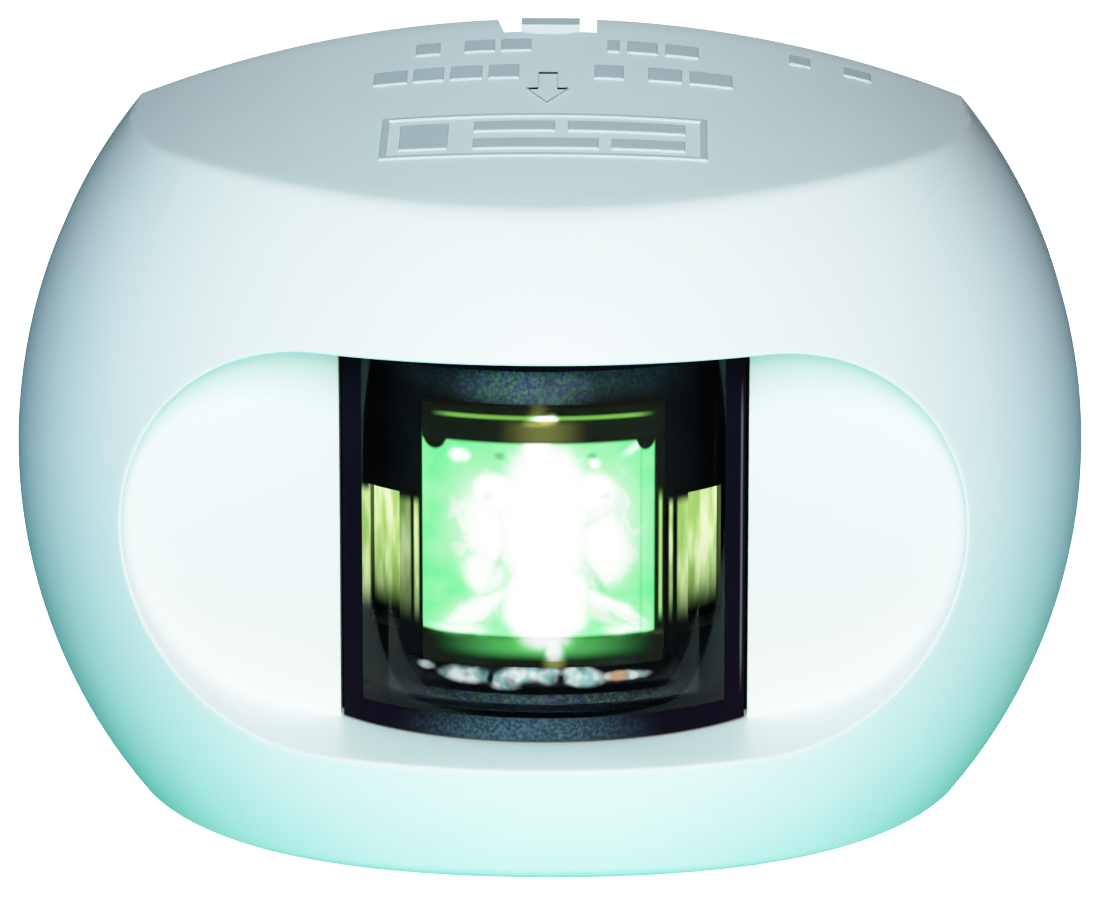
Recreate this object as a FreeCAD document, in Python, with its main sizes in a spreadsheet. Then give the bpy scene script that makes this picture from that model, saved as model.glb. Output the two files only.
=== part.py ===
import FreeCAD, Part
import math
import os
import re
import Sketcher

"""Compact LED side light for small boats, with a snap-on white housing.

Frame: millimetres, +X to the right, +Z up, and the light shines along -Y.
The origin is the centre of the mounting face. Depths are measured forward
from that face, so a depth of 10 mm is y = -10.
"""

# Sizes that can be set by themselves, in millimetres unless a name says otherwise.
SIZES = {
    # housing, outside
    "half_width": 35.5,
    "back_half_height": 27.8,
    "dome_depth": 38.5,
    "skirt_depth": 4.0,
    "arch_radius": 75.0,
    "top_slope": 0.1815,
    "wall": 2.2,
    "recess_skin": 2.0,
    "recess_radius": 12.9,
    "recess_half_straight": 13.9,
    "recess_fillet": 1.2,
    "window_half_width": 13.0,
    "notch_half_width": 3.05,
    "notch_depth": 2.7,
    "notch_flare": 0.7,
    "catch_half_width": 2.6,
    "catch_start": 4.0,
    "catch_thickness": 1.4,
    "catch_drop": 1.35,
    # clearances
    "cover_fit": 0.3,
    "slide_fit": 0.2,
    "lens_fit": 0.1,
    "screw_fit": 0.1,
    "through": 1.0,
    # base
    "gasket_thickness": 1.0,
    "base_thickness": 3.0,
    "pedestal_height": 1.0,
    "mounting_spacing": 48.0,
    "mounting_hole_radius": 2.2,
    "mounting_boss_radius": 4.8,
    "mounting_boss_height": 1.5,
    "countersink_radius": 4.2,
    "countersink_depth": 2.0,
    "base_screw_half_spacing": 10.0,
    "base_screw_radius": 1.1,
    "base_screw_head_radius": 2.1,
    "base_screw_head_height": 1.7,
    "base_screw_boss_radius": 2.6,
    "base_screw_boss_height": 1.5,
    # cable entry
    "cable_drop": 9.0,
    "cable_bore_radius": 2.6,
    "cable_bore_length": 5.6,
    "grommet_radius": 4.5,
    "grommet_flange_radius": 5.4,
    "grommet_flange_height": 1.0,
    "lead_radius": 0.6,
    "lead_half_spacing": 1.4,
    "lead_end": 0.6,
    "solder_radius": 1.1,
    "solder_height": 0.5,
    # release latch
    "latch_half_width": 1.95,
    "latch_rear": 1.0,
    "latch_tab_front": 2.3,
    "latch_proud": 0.3,
    "latch_arm_drop": 2.1,
    "latch_arm_thickness": 1.2,
    "barb_start": 6.1,
    "barb_length": 1.0,
    "barb_ramp": 2.0,
    "barb_gap": 0.6,
    "pivot_depth": 13.0,
    "pivot_radius": 1.2,
    "pivot_headroom": 1.25,
    "pivot_fit": 0.3,
    "ear_thickness": 1.8,
    "ear_half_length": 1.9,
    "shelf_thickness": 1.6,
    # module case and lens
    "case_half_width": 17.0,
    "case_half_height": 16.5,
    "case_wall": 1.6,
    "case_floor": 1.6,
    "post_height": 1.9,
    "post_radius": 2.1,
    "ledge_thickness": 1.5,
    "ledge_width": 2.8,
    "seal_thickness": 1.0,
    "flange_thickness": 2.0,
    "flange_gap": 2.0,
    "lens_radius": 16.5,
    "lens_front_wall": 1.8,
    "lens_side_wall": 1.0,
    "lens_end_wall": 1.5,
    "lens_lip": 0.3,
    # light box and colour lens
    "box_gap": 1.1,
    "box_front_wall": 1.5,
    "box_side_wall": 0.7,
    "box_end_wall": 0.9,
    "view_border": 1.6,
    "mullion": 1.4,
    "side_slot_width": 2.0,
    "side_slot_half_height": 4.5,
    "side_slot_drop": 2.4,
    "colour_wall": 1.5,
    "colour_proud": 0.6,
    # electronics
    "board_half_width": 14.5,
    "board_half_height": 14.0,
    "led_board_thickness": 1.6,
    "heat_sink_thickness": 2.5,
    "spacer_length": 2.8,
    "spacer_radius": 1.4,
    "driver_board_thickness": 1.2,
    "screw_half_x": 13.0,
    "screw_half_z": 12.5,
    "screw_radius": 1.0,
    "screw_head_radius": 1.8,
    "screw_head_height": 1.2,
    "screw_head_gap": 1.0,
    "screw_bite": 1.5,
    "led_half_side": 1.5,
    "led_height": 1.0,
    "reflector_side_gap": 2.3,
    "reflector_end_gap": 0.5,
    "reflector_height": 4.0,
    "cup_floor_radius": 2.3,
    "cup_rim": 0.3,
    "cup_half_web": 0.5,
    # driver circuit
    "inductor_x": -6.0,
    "inductor_z": 5.0,
    "inductor_radius": 3.2,
    "inductor_height": 2.3,
    "chip_half_width": 2.5,
    "chip_half_height": 2.0,
    "chip_thickness": 1.4,
    "controller_chip_x": 5.0,
    "controller_chip_z": 5.0,
    "capacitor_half_width": 1.6,
    "capacitor_half_height": 1.25,
    "capacitor_thickness": 1.8,
    "input_capacitor_x": -8.5,
    "input_capacitor_z": -4.0,
    "output_capacitor_x": 8.5,
    "output_capacitor_z": -3.0,
    "diode_half_width": 1.3,
    "diode_half_height": 2.1,
    "diode_thickness": 2.0,
    "input_diode_x": -4.0,
    "input_diode_z": -4.0,
    "catch_diode_x": 4.0,
    "catch_diode_z": -3.0,
    "resistor_half_width": 0.6,
    "resistor_half_height": 1.0,
    "resistor_thickness": 0.5,
    "sense_resistor_x": 10.0,
    "sense_resistor_z": 2.0,
    "set_resistor_x": 10.0,
    "set_resistor_z": 6.0,
    "gate_resistor_x": 0.0,
    "gate_resistor_z": 0.0,
    "bleed_resistor_x": -11.0,
    "bleed_resistor_z": 0.0,
}

# Places and sizes that follow from the ones above.
DERIVED = {
    "base_back": "gasket_thickness",
    "base_front": "base_back + base_thickness",
    "case_back": "base_front + pedestal_height",
    "case_inside": "case_back + case_floor",
    "driver_back": "case_inside + post_height",
    "driver_front": "driver_back + driver_board_thickness",
    "sink_back": "driver_front + spacer_length",
    "sink_front": "sink_back + heat_sink_thickness",
    "led_front": "sink_front + led_board_thickness",
    "ledge_back": "led_front + screw_head_height + screw_head_gap",
    "ledge_front": "ledge_back + ledge_thickness",
    "flange_back": "ledge_front + seal_thickness",
    "flange_front": "flange_back + flange_thickness",
    "recess_floor": "flange_front + flange_gap + recess_skin",
    "body_front": "skirt_depth + dome_depth",
    "wedge_end": "body_front + through",
    "inner_half_height": "back_half_height - wall",
    "case_inner_x": "case_half_width - case_wall",
    "case_inner_z": "case_half_height - case_wall",
    "lens_half_x": "window_half_width - slide_fit",
    "lens_half_z": "recess_radius - slide_fit",
    "lens_edge": "recess_floor + lens_lip",
    "lens_axis": "lens_edge - sqrt(lens_radius * lens_radius - lens_half_x * lens_half_x)",
    "lens_inner_radius": "lens_radius - lens_front_wall",
    "lens_inner_x": "lens_half_x - lens_side_wall",
    "lens_inner_z": "lens_half_z - lens_end_wall",
    "box_radius": "lens_inner_radius - box_gap",
    "box_half_x": "lens_inner_x - slide_fit",
    "box_half_z": "lens_inner_z - slide_fit",
    "box_inner_radius": "box_radius - box_front_wall",
    "box_inner_x": "box_half_x - box_side_wall",
    "box_inner_z": "box_half_z - box_end_wall",
    "colour_radius": "box_inner_radius - lens_fit",
    "colour_half_x": "box_inner_x - lens_fit",
    "colour_half_z": "box_inner_z - lens_fit",
    "colour_inner_radius": "colour_radius - colour_wall",
    "colour_inner_x": "colour_half_x - colour_wall",
    "colour_inner_z": "colour_half_z - colour_wall",
    "side_slot_start": "box_inner_x - side_slot_width",
    "view_half_width": "side_slot_start - mullion",
    "view_half_height": "box_inner_z - view_border",
    "reflector_half_width": "colour_inner_x - reflector_side_gap",
    "reflector_half_height": "colour_inner_z - reflector_end_gap",
    "cup_mouth_radius": "(reflector_half_height - cup_rim - cup_half_web) / 2",
    "led_half_spacing": "cup_half_web + cup_mouth_radius",
    "flange_half_x": "case_inner_x - slide_fit",
    "flange_half_z": "case_inner_z - slide_fit",
    "ledge_half_x": "case_inner_x - ledge_width",
    "ledge_half_z": "case_inner_z - ledge_width",
    "catch_end": "catch_start + catch_thickness",
    "catch_bottom": "inner_half_height - top_slope * catch_start - catch_drop",
    "barb_end": "barb_start + barb_length",
    "ramp_end": "barb_end + barb_ramp",
    "latch_arm_top": "inner_half_height - top_slope * latch_rear - latch_arm_drop",
    "latch_arm_bottom": "latch_arm_top - latch_arm_thickness",
    "pivot_z": "inner_half_height - top_slope * pivot_depth - pivot_radius - pivot_headroom",
    "shelf_top": "pivot_z - pivot_radius - pivot_fit",
    "shelf_bottom": "shelf_top - shelf_thickness",
    "ear_inside": "latch_half_width + pivot_fit",
    "ear_outside": "ear_inside + ear_thickness",
    "ear_back": "pivot_depth - ear_half_length",
    "ear_front": "pivot_depth + ear_half_length",
    "ear_top": "pivot_z + ear_half_length",
    "grommet_front": "case_inside + grommet_flange_height",
    "mounting_x": "mounting_spacing / 2",
    "countersink_back": "base_front + mounting_boss_height - countersink_depth",
}

ALONG_DEPTH = FreeCAD.Rotation(FreeCAD.Vector(1, 0, 0), 90)
ALONG_X = FreeCAD.Rotation(FreeCAD.Vector(0, 1, 0), 90)
UPRIGHT = FreeCAD.Rotation()

doc = FreeCAD.newDocument("navigation_light")
sheet = doc.addObject("Spreadsheet::Sheet", "Dims")
for row, (alias, value) in enumerate(SIZES.items(), start=1):
    sheet.set(f"A{row}", alias.replace("_", " "))
    sheet.set(f"B{row}", str(value))
    sheet.setAlias(f"B{row}", alias)
doc.recompute()


def expression(text):
    """Spell out derived names, and point each size at its cell of the sheet."""

    def spell(match):
        word = match.group(0)
        if word in DERIVED:
            return "(" + expression(DERIVED[word]) + ")"
        return "Dims." + word if word in SIZES else word

    return re.sub(r"[a-z_]+[a-z]", spell, str(text))


def number(text):
    """Value of an expression at the sheet's present sizes."""
    names = dict(SIZES)

    def value(word):
        return number(DERIVED[word]) if word in DERIVED else names[word]

    def spell(match):
        word = match.group(0)
        return repr(value(word)) if word in DERIVED or word in names else word

    plain = re.sub(r"[a-z_]+[a-z]", spell, str(text))
    return float(sheet.evalExpression(plain))


def bind(item, **places):
    """Bind properties of a document object to expressions."""
    for name, text in places.items():
        item.setExpression(name.replace("__", "."), expression(text))


def at(item, x, depth, z, rotation=UPRIGHT):
    """Place an object by its origin's x, depth and z."""
    item.Placement = FreeCAD.Placement(FreeCAD.Vector(), rotation)
    bind(item, Placement__Base__x=x, Placement__Base__y=f"-({depth})", Placement__Base__z=z)
    return item


def block(label, x, depth, z):
    """Box between two limits along each direction."""
    item = doc.addObject("Part::Box", label)
    item.Label = label
    bind(item, Length=f"({x[1]}) - ({x[0]})")
    bind(item, Width=f"({depth[1]}) - ({depth[0]})")
    bind(item, Height=f"({z[1]}) - ({z[0]})")
    return at(item, x[0], depth[1], z[0])


def centred(label, half_x, depth, half_z):
    """Box centred on the light's axis."""
    return block(label, (f"-({half_x})", half_x), depth, (f"-({half_z})", half_z))


def rod(label, x, z, depth, radius):
    """Cylinder that runs forward between two depths."""
    item = doc.addObject("Part::Cylinder", label)
    item.Label = label
    bind(item, Radius=radius, Height=f"({depth[1]}) - ({depth[0]})")
    return at(item, x, depth[0], z, ALONG_DEPTH)


def cone(label, x, z, depth, radii):
    """Cone that runs forward between two depths."""
    item = doc.addObject("Part::Cone", label)
    item.Label = label
    bind(item, Radius1=radii[0], Radius2=radii[1])
    bind(item, Height=f"({depth[1]}) - ({depth[0]})")
    return at(item, x, depth[0], z, ALONG_DEPTH)


def upright_rod(label, depth, radius, half_height):
    """Cylinder that stands on end at a depth, centred on z = 0."""
    item = doc.addObject("Part::Cylinder", label)
    item.Label = label
    bind(item, Radius=radius, Height=f"2 * ({half_height})")
    return at(item, "0", depth, f"-({half_height})")


def cross_rod(label, depth, z, radius, half_length):
    """Cylinder along X, centred on x = 0."""
    item = doc.addObject("Part::Cylinder", label)
    item.Label = label
    bind(item, Radius=radius, Height=f"2 * ({half_length})")
    return at(item, f"-({half_length})", depth, z, ALONG_X)


def dome(label, radius, depth, start):
    """Skirt and half ellipsoid, turned about the light's axis from a half outline."""
    body = new_body(label)
    sketch = body.newObject("Sketcher::SketchObject", label + "_outline")
    sketch.AttachmentSupport = [(plane_of(body, "XY_Plane"), "")]
    sketch.MapMode = "FlatFace"
    reach = f"skirt_depth + {depth}"
    corners = [
        ("0", f"-({start})"),
        (radius, f"-({start})"),
        (radius, "-skirt_depth"),
        ("0", f"-({reach})"),
    ]
    points = [FreeCAD.Vector(number(a), number(b), 0) for a, b in corners]
    middle = FreeCAD.Vector(0, points[2].y, 0)
    across = points[2] - middle
    along = middle - points[3]
    if along.Length >= across.Length:
        oval = Part.Ellipse(points[3], points[2], middle)
        turn = (0, math.pi / 2)
    else:
        oval = Part.Ellipse(points[2], middle + along, middle)
        turn = (3 * math.pi / 2, 2 * math.pi)
    sketch.addGeometry(Part.LineSegment(points[0], points[1]), False)
    sketch.addGeometry(Part.LineSegment(points[1], points[2]), False)
    sketch.addGeometry(Part.LineSegment(points[3], points[0]), False)
    sketch.addGeometry(Part.ArcOfEllipse(oval, *turn), False)
    sketch.exposeInternalGeometry(3)
    ends = [(0, 2, 1, 1), (1, 2, 3, 2), (3, 1, 2, 1), (2, 2, 0, 1)]
    for end in ends:
        sketch.addConstraint(Sketcher.Constraint("Coincident", *end))
    upright = "Vertical" if along.Length >= across.Length else "Horizontal"
    sketch.addConstraint(Sketcher.Constraint(upright, 4))
    held = [(0, 1), (0, 2), (1, 2), (2, 1)]
    for (edge, point), (x, y) in zip(held, corners):
        hold(sketch, "DistanceX", edge, point, x)
        hold(sketch, "DistanceY", edge, point, y)
    hold(sketch, "DistanceX", 3, 3, "0")
    hold(sketch, "DistanceY", 3, 3, "-skirt_depth")
    turned = body.newObject("PartDesign::Revolution", label + "_turned")
    turned.Profile = sketch
    turned.ReferenceAxis = (sketch, ["V_Axis"])
    turned.Angle = 360
    sketch.Visibility = False
    return body


def join(label, *items):
    """One solid, or one group of separate solids, from several."""
    item = doc.addObject("Part::MultiFuse", label)
    item.Label = label
    item.Shapes = list(items)
    return item


def shared(label, *items):
    """What several solids have in common."""
    item = doc.addObject("Part::MultiCommon", label)
    item.Label = label
    item.Shapes = list(items)
    return item


def cut(label, base, *tools):
    """A solid with one or more tools cut from it."""
    tool = tools[0] if len(tools) == 1 else join(label + "_tools", *tools)
    item = doc.addObject("Part::Cut", label)
    item.Label = label
    item.Base = base
    item.Tool = tool
    return item


def plane_of(body, role):
    """One of a body's own origin planes."""
    return next(f for f in body.Origin.OriginFeatures if f.Role == role)


def new_body(label):
    """Empty body for sketched features."""
    body = doc.addObject("PartDesign::Body", label)
    body.Label = label
    return body


def outline(body, name, role, offset, corners, arcs=None):
    """Closed sketch through corners, each at a bound place.

    offset lifts the sketch off its plane. arcs maps an edge's number to
    (centre across, centre along, fixed coordinate, turns left).
    """
    arcs = arcs or {}
    sketch = body.newObject("Sketcher::SketchObject", name)
    sketch.AttachmentSupport = [(plane_of(body, role), "")]
    sketch.MapMode = "FlatFace"
    bind(sketch, AttachmentOffset__Base__z=offset)
    points = [FreeCAD.Vector(number(a), number(b), 0) for a, b in corners]
    begins = []
    for i, start in enumerate(points):
        end = points[(i + 1) % len(points)]
        if i not in arcs:
            sketch.addGeometry(Part.LineSegment(start, end), False)
            begins.append((1, 2))
            continue
        across, along, _, left = arcs[i]
        centre = FreeCAD.Vector(number(across), number(along), 0)
        first, last = (start, end) if left else (end, start)
        circle = Part.Circle(centre, FreeCAD.Vector(0, 0, 1), (start - centre).Length)
        angles = [math.atan2((p - centre).y, (p - centre).x) for p in (first, last)]
        if angles[1] <= angles[0]:
            angles[1] += 2 * math.pi
        sketch.addGeometry(Part.ArcOfCircle(circle, *angles), False)
        begins.append((1, 2) if left else (2, 1))
    for i in range(len(points)):
        after = (i + 1) % len(points)
        sketch.addConstraint(
            Sketcher.Constraint("Coincident", i, begins[i][1], after, begins[after][0])
        )
    for i, (across, along) in enumerate(corners):
        hold(sketch, "DistanceX", i, begins[i][0], across)
        hold(sketch, "DistanceY", i, begins[i][0], along)
    for i, (across, along, fixed, _) in arcs.items():
        if fixed == "across":
            hold(sketch, "DistanceX", i, 3, across)
        else:
            hold(sketch, "DistanceY", i, 3, along)
    return sketch


def hold(sketch, kind, edge, point, text):
    """Tie a sketch point's distance from the origin to an expression."""
    here = sketch.addConstraint(Sketcher.Constraint(kind, -1, 1, edge, point, number(text)))
    sketch.setExpression(f"Constraints[{here}]", expression(text))


def pad(body, sketch, length, both_ways=False):
    """Pad a sketch along its plane's normal."""
    item = body.newObject("PartDesign::Pad", sketch.Name + "_pad")
    item.Profile = sketch
    bind(item, Length=length)
    if both_ways:
        item.SideType = "Symmetric"
    sketch.Visibility = False
    return item


def capsule(label, depth, radius):
    """Stadium-shaped block across the front, between two depths."""
    body = new_body(label)
    side = "recess_half_straight"
    corners = [
        (side, f"-({radius})"),
        (side, radius),
        (f"-{side}", radius),
        (f"-{side}", f"-({radius})"),
    ]
    arcs = {0: (side, "0", "across", True), 2: (f"-{side}", "0", "across", True)}
    sketch = outline(body, label + "_outline", "XZ_Plane", depth[0], corners, arcs)
    pad(body, sketch, f"({depth[1]}) - ({depth[0]})")
    return body


def wedge(label, start, inset):
    """Block whose arched top and bottom slope together and flatten forwards."""
    body = new_body(label)
    half = "(half_width + through)"
    height = f"(back_half_height - ({inset}) - top_slope * ({start}))"
    fall = f"(arch_radius - sqrt(arch_radius * arch_radius - {half} * {half}))"
    middle = f"{height} - arch_radius"
    corners = [
        (half, f"-({height} - {fall})"),
        (half, f"{height} - {fall}"),
        (f"-{half}", f"{height} - {fall}"),
        (f"-{half}", f"-({height} - {fall})"),
    ]
    arcs = {1: ("0", middle, "along", True), 3: ("0", f"-({middle})", "along", True)}
    back = outline(body, label + "_back", "XZ_Plane", start, corners, arcs)
    low = f"(back_half_height - ({inset}) - top_slope * wedge_end)"
    corners = [(half, f"-{low}"), (half, low), (f"-{half}", low), (f"-{half}", f"-{low}")]
    front = outline(body, label + "_front", "XZ_Plane", "wedge_end", corners)
    loft = body.newObject("PartDesign::AdditiveLoft", label + "_loft")
    loft.Profile = back
    loft.Sections = [front]
    loft.Ruled = True
    return body


def bow(label, half_x, half_z, radius, back):
    """Block with a front face that is round about the lens's upright axis."""
    body = new_body(label)
    edge = f"-(lens_axis + sqrt(({radius}) * ({radius}) - ({half_x}) * ({half_x})))"
    corners = [
        (f"-({half_x})", f"-({back})"),
        (f"-({half_x})", edge),
        (half_x, edge),
        (half_x, f"-({back})"),
    ]
    arcs = {1: ("0", "-(lens_axis)", "along", True)}
    sketch = outline(body, label + "_outline", "XY_Plane", "0", corners, arcs)
    pad(body, sketch, f"2 * ({half_z})", both_ways=True)
    return body


def four(label, depth, radius):
    """Rods at the four corners that the module's screws hold."""
    rods = [
        rod(f"{label}_{n}", f"{x} * screw_half_x", f"{z} * screw_half_z", depth, radius)
        for n, (x, z) in enumerate([(1, 1), (-1, 1), (-1, -1), (1, -1)], start=1)
    ]
    return join(label, *rods)


def pair(label, half_x, z, depth, radius):
    """Two rods side by side."""
    left = rod(label + "_left", f"-({half_x})", z, depth, radius)
    right = rod(label + "_right", half_x, z, depth, radius)
    return join(label, left, right)


def build_housing():
    """White snap-on housing: a sloped dome with a lens recess and a latch notch."""
    round_outside = dome("dome_outside", "half_width", "dome_depth", "0")
    outside = shared("outside", round_outside, wedge("wedge_outside", "0", "0"))
    round_inside = dome("dome_inside", "half_width - wall", "dome_depth - wall", "-through")
    inside = shared("inside", round_inside, wedge("wedge_inside", "-through", "wall"))

    tray_depth = ("recess_floor - recess_skin", "wedge_end")
    tray = capsule("recess_tray", tray_depth, "recess_radius + recess_skin")
    shell = cut("shell", outside, cut("cavity", inside, tray))

    catch_root = "inner_half_height - top_slope * catch_end + wall / 2"
    catch = block(
        "catch",
        ("-catch_half_width", "catch_half_width"),
        ("catch_start", "catch_end"),
        ("catch_bottom", catch_root),
    )

    recess = capsule("recess", ("recess_floor", "wedge_end"), "recess_radius")
    doc.recompute()
    sharp = recess.Tip
    floor = -number("recess_floor")
    rim = [
        f"Edge{n}"
        for n, edge in enumerate(sharp.Shape.Edges, start=1)
        if abs(edge.BoundBox.YMin - floor) < 1e-4 and abs(edge.BoundBox.YMax - floor) < 1e-4
    ]
    soft = recess.newObject("PartDesign::Fillet", "recess_soft_edge")
    soft.Base = (sharp, rim)
    bind(soft, Radius="recess_fillet")
    recess.Tip = soft

    window = centred(
        "window",
        "window_half_width",
        ("recess_floor - recess_skin - through", "recess_floor + recess_fillet + through"),
        "recess_radius",
    )
    notch = new_body("notch")
    flare = "notch_half_width + notch_flare"
    corners = [
        (f"-({flare})", "through"),
        ("-notch_half_width", "-notch_depth"),
        ("notch_half_width", "-notch_depth"),
        ("notch_half_width", "through"),
    ]
    sketch = outline(notch, "notch_outline", "XY_Plane", "inner_half_height - wall", corners)
    pad(notch, sketch, "3 * wall")
    return cut("housing", join("shell_and_catch", shell, catch), recess, window, notch)


def build_base():
    """Mounting base: plate, pedestal, screw bosses and the latch's shelf and ears."""
    disc = rod("plate_disc", "0", "0", ("base_back", "base_front"), "half_width - wall - cover_fit")
    plate = shared("plate", disc, wedge("plate_wedge", "0", "wall + cover_fit"))
    pedestal = centred(
        "pedestal", "case_half_width", ("base_front", "case_back"), "case_half_height"
    )
    boss_depth = ("base_front", "base_front + mounting_boss_height")
    bosses = pair("mounting_bosses", "mounting_x", "0", boss_depth, "mounting_boss_radius")
    across = ("-(ear_outside)", "ear_outside")
    shelf = block(
        "latch_shelf", across, ("base_front", "ear_front"), ("shelf_bottom", "shelf_top")
    )
    ears = block("latch_ears", across, ("ear_back", "ear_front"), ("shelf_top", "ear_top"))
    solid = join("base_solid", plate, pedestal, bosses, shelf, ears)

    between = block(
        "between_ears",
        ("-(ear_inside)", "ear_inside"),
        ("ear_back - through", "ear_front + through"),
        ("shelf_top", "ear_top + through"),
    )
    socket = cross_rod(
        "latch_socket", "pivot_depth", "pivot_z", "pivot_radius + pivot_fit", "ear_outside + through"
    )
    latch_gap = block(
        "latch_gap",
        ("-(ear_inside)", "ear_inside"),
        ("-through", "ear_back"),
        ("shelf_top", "back_half_height + through"),
    )
    everywhere = ("-through", "case_back + base_thickness")
    holes = pair("mounting_holes", "mounting_x", "0", everywhere, "mounting_hole_radius")
    sinks = []
    for side, x in (("left", "-(mounting_x)"), ("right", "mounting_x")):
        depth = ("countersink_back", "base_front + mounting_boss_height")
        radii = ("mounting_hole_radius", "countersink_radius")
        sinks.append(cone(f"countersink_{side}", x, "0", depth, radii))
    cable = rod("cable_hole", "0", "-cable_drop", everywhere, "grommet_radius + slide_fit")
    head_depth = ("-through", "base_back + base_screw_head_height + screw_fit")
    half = "base_screw_half_spacing"
    heads = pair("head_pockets", half, "0", head_depth, "base_screw_head_radius + screw_fit")
    shanks = pair("shank_holes", half, "0", everywhere, "base_screw_radius + screw_fit")
    tools = [between, socket, latch_gap, holes, *sinks, cable, heads, shanks]
    return cut("base_plate", solid, *tools)


def build_gasket():
    """Foam gasket behind the base, which seals against the mounting surface."""
    disc = rod("gasket_disc", "0", "0", ("0", "base_back"), "half_width - wall - cover_fit")
    sheet_shape = shared("gasket_blank", disc, wedge("gasket_wedge", "0", "wall + cover_fit"))
    depth = ("-through", "base_back + through")
    holes = pair("gasket_holes", "mounting_x", "0", depth, "mounting_hole_radius + screw_fit")
    cable = rod("gasket_cable_hole", "0", "-cable_drop", depth, "grommet_radius + slide_fit")
    gap = block(
        "gasket_latch_gap",
        ("-(ear_inside)", "ear_inside"),
        depth,
        ("shelf_top", "back_half_height + through"),
    )
    return cut("base_gasket", sheet_shape, holes, cable, gap)


def build_latch():
    """Latch lever: a tab in the notch, a barb behind the catch and a round pivot."""
    body = new_body("latch_lever")
    top = "back_half_height - top_slope * {} + latch_proud"
    under = "inner_half_height - top_slope * {} - {}"
    corners = [
        ("-pivot_depth", "pivot_z - pivot_radius / 2"),
        ("-latch_rear", "latch_arm_bottom"),
        ("-latch_rear", top.format("latch_rear")),
        ("-latch_tab_front", top.format("latch_tab_front")),
        ("-latch_tab_front", under.format("latch_tab_front", "latch_arm_drop")),
        ("-barb_start", under.format("barb_start", "latch_arm_drop")),
        ("-barb_start", under.format("barb_start", "barb_gap")),
        ("-(barb_end)", under.format("(barb_end)", "barb_gap")),
        ("-(ramp_end)", under.format("(ramp_end)", "latch_arm_drop")),
        ("-pivot_depth", "pivot_z + pivot_radius / 2"),
    ]
    sketch = outline(body, "latch_outline", "YZ_Plane", "0", corners)
    pad(body, sketch, "2 * latch_half_width", both_ways=True)
    pivot = cross_rod("latch_pivot", "pivot_depth", "pivot_z", "pivot_radius", "ear_outside")
    return join("release_latch", body, pivot)


def build_case():
    """Cup that holds the electronics, with posts, screw bosses and a lens ledge."""
    outside = centred(
        "case_outside", "case_half_width", ("case_back", "flange_front"), "case_half_height"
    )
    lower = centred("case_lower", "case_inner_x", ("case_inside", "ledge_back"), "case_inner_z")
    upper_depth = ("ledge_front", "flange_front + through")
    upper = centred("case_upper", "case_inner_x", upper_depth, "case_inner_z")
    mouth_depth = ("ledge_back - through", "ledge_front + through")
    mouth = centred("case_mouth", "ledge_half_x", mouth_depth, "ledge_half_z")
    cup = cut("case_cup", outside, lower, upper, mouth)
    posts = four("case_posts", ("case_inside", "driver_back"), "post_radius")
    half = "base_screw_half_spacing"
    boss_depth = ("case_inside", "case_inside + base_screw_boss_height")
    bosses = pair("case_bosses", half, "0", boss_depth, "base_screw_boss_radius")
    filled = join("case_filled", cup, posts, bosses)
    post_depth = ("driver_back - screw_bite", "driver_back + through")
    post_holes = four("post_holes", post_depth, "screw_radius")
    through = ("case_back - through", "case_inside + base_screw_boss_height + through")
    boss_holes = pair("boss_holes", half, "0", through, "base_screw_radius")
    cable = rod("case_cable_hole", "0", "-cable_drop", through, "grommet_radius")
    return cut("module_case", filled, post_holes, boss_holes, cable)


def build_outer_lens():
    """Clear lens: a bowed box with a flange that seats in the case."""
    bowed = bow("lens_outside", "lens_half_x", "lens_half_z", "lens_radius", "flange_front")
    flange = centred(
        "lens_flange", "flange_half_x", ("flange_back", "flange_front"), "flange_half_z"
    )
    hollow = bow(
        "lens_inside",
        "lens_inner_x",
        "lens_inner_z",
        "lens_inner_radius",
        "flange_back - through",
    )
    return cut("outer_lens", join("lens_solid", bowed, flange), hollow)


def build_seal():
    """Rubber ring between the lens flange and the case ledge."""
    depth = ("ledge_front", "flange_back")
    ring = centred("seal_blank", "flange_half_x", depth, "flange_half_z")
    hole_depth = ("ledge_front - through", "flange_back + through")
    hole = centred("seal_hole", "ledge_half_x", hole_depth, "ledge_half_z")
    return cut("lens_seal", ring, hole)


def build_light_box():
    """Black box that masks the light down to one window and two side slots."""
    outside = bow("box_outside", "box_half_x", "box_half_z", "box_radius", "led_front")
    inside = bow(
        "box_inside", "box_inner_x", "box_inner_z", "box_inner_radius", "led_front - through"
    )
    far = ("led_front + reflector_height", "lens_axis + lens_radius")
    view = centred("box_window", "view_half_width", far, "view_half_height")
    height = (
        "-(side_slot_drop + side_slot_half_height)",
        "side_slot_half_height - side_slot_drop",
    )
    left = block("left_slot", ("-(box_inner_x)", "-side_slot_start"), far, height)
    right = block("right_slot", ("side_slot_start", "box_inner_x"), far, height)
    return cut("light_box", outside, inside, view, left, right)


def build_colour_lens():
    """Green lens: a bowed cap over the lamp with a block that fills the window."""
    cap = bow("colour_outside", "colour_half_x", "colour_half_z", "colour_radius", "led_front")
    hollow = bow(
        "colour_inside",
        "colour_inner_x",
        "colour_inner_z",
        "colour_inner_radius",
        "led_front - through",
    )
    half_z = "view_half_height - lens_fit"
    tower = upright_rod("colour_round", "lens_axis", "box_radius + colour_proud", half_z)
    limits = centred(
        "colour_limits",
        "view_half_width - lens_fit",
        ("lens_axis + colour_inner_radius - colour_wall", "lens_axis + lens_radius"),
        half_z,
    )
    bulge = shared("colour_bulge", tower, limits)
    return cut("colour_lens", join("colour_solid", cap, bulge), hollow)


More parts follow.
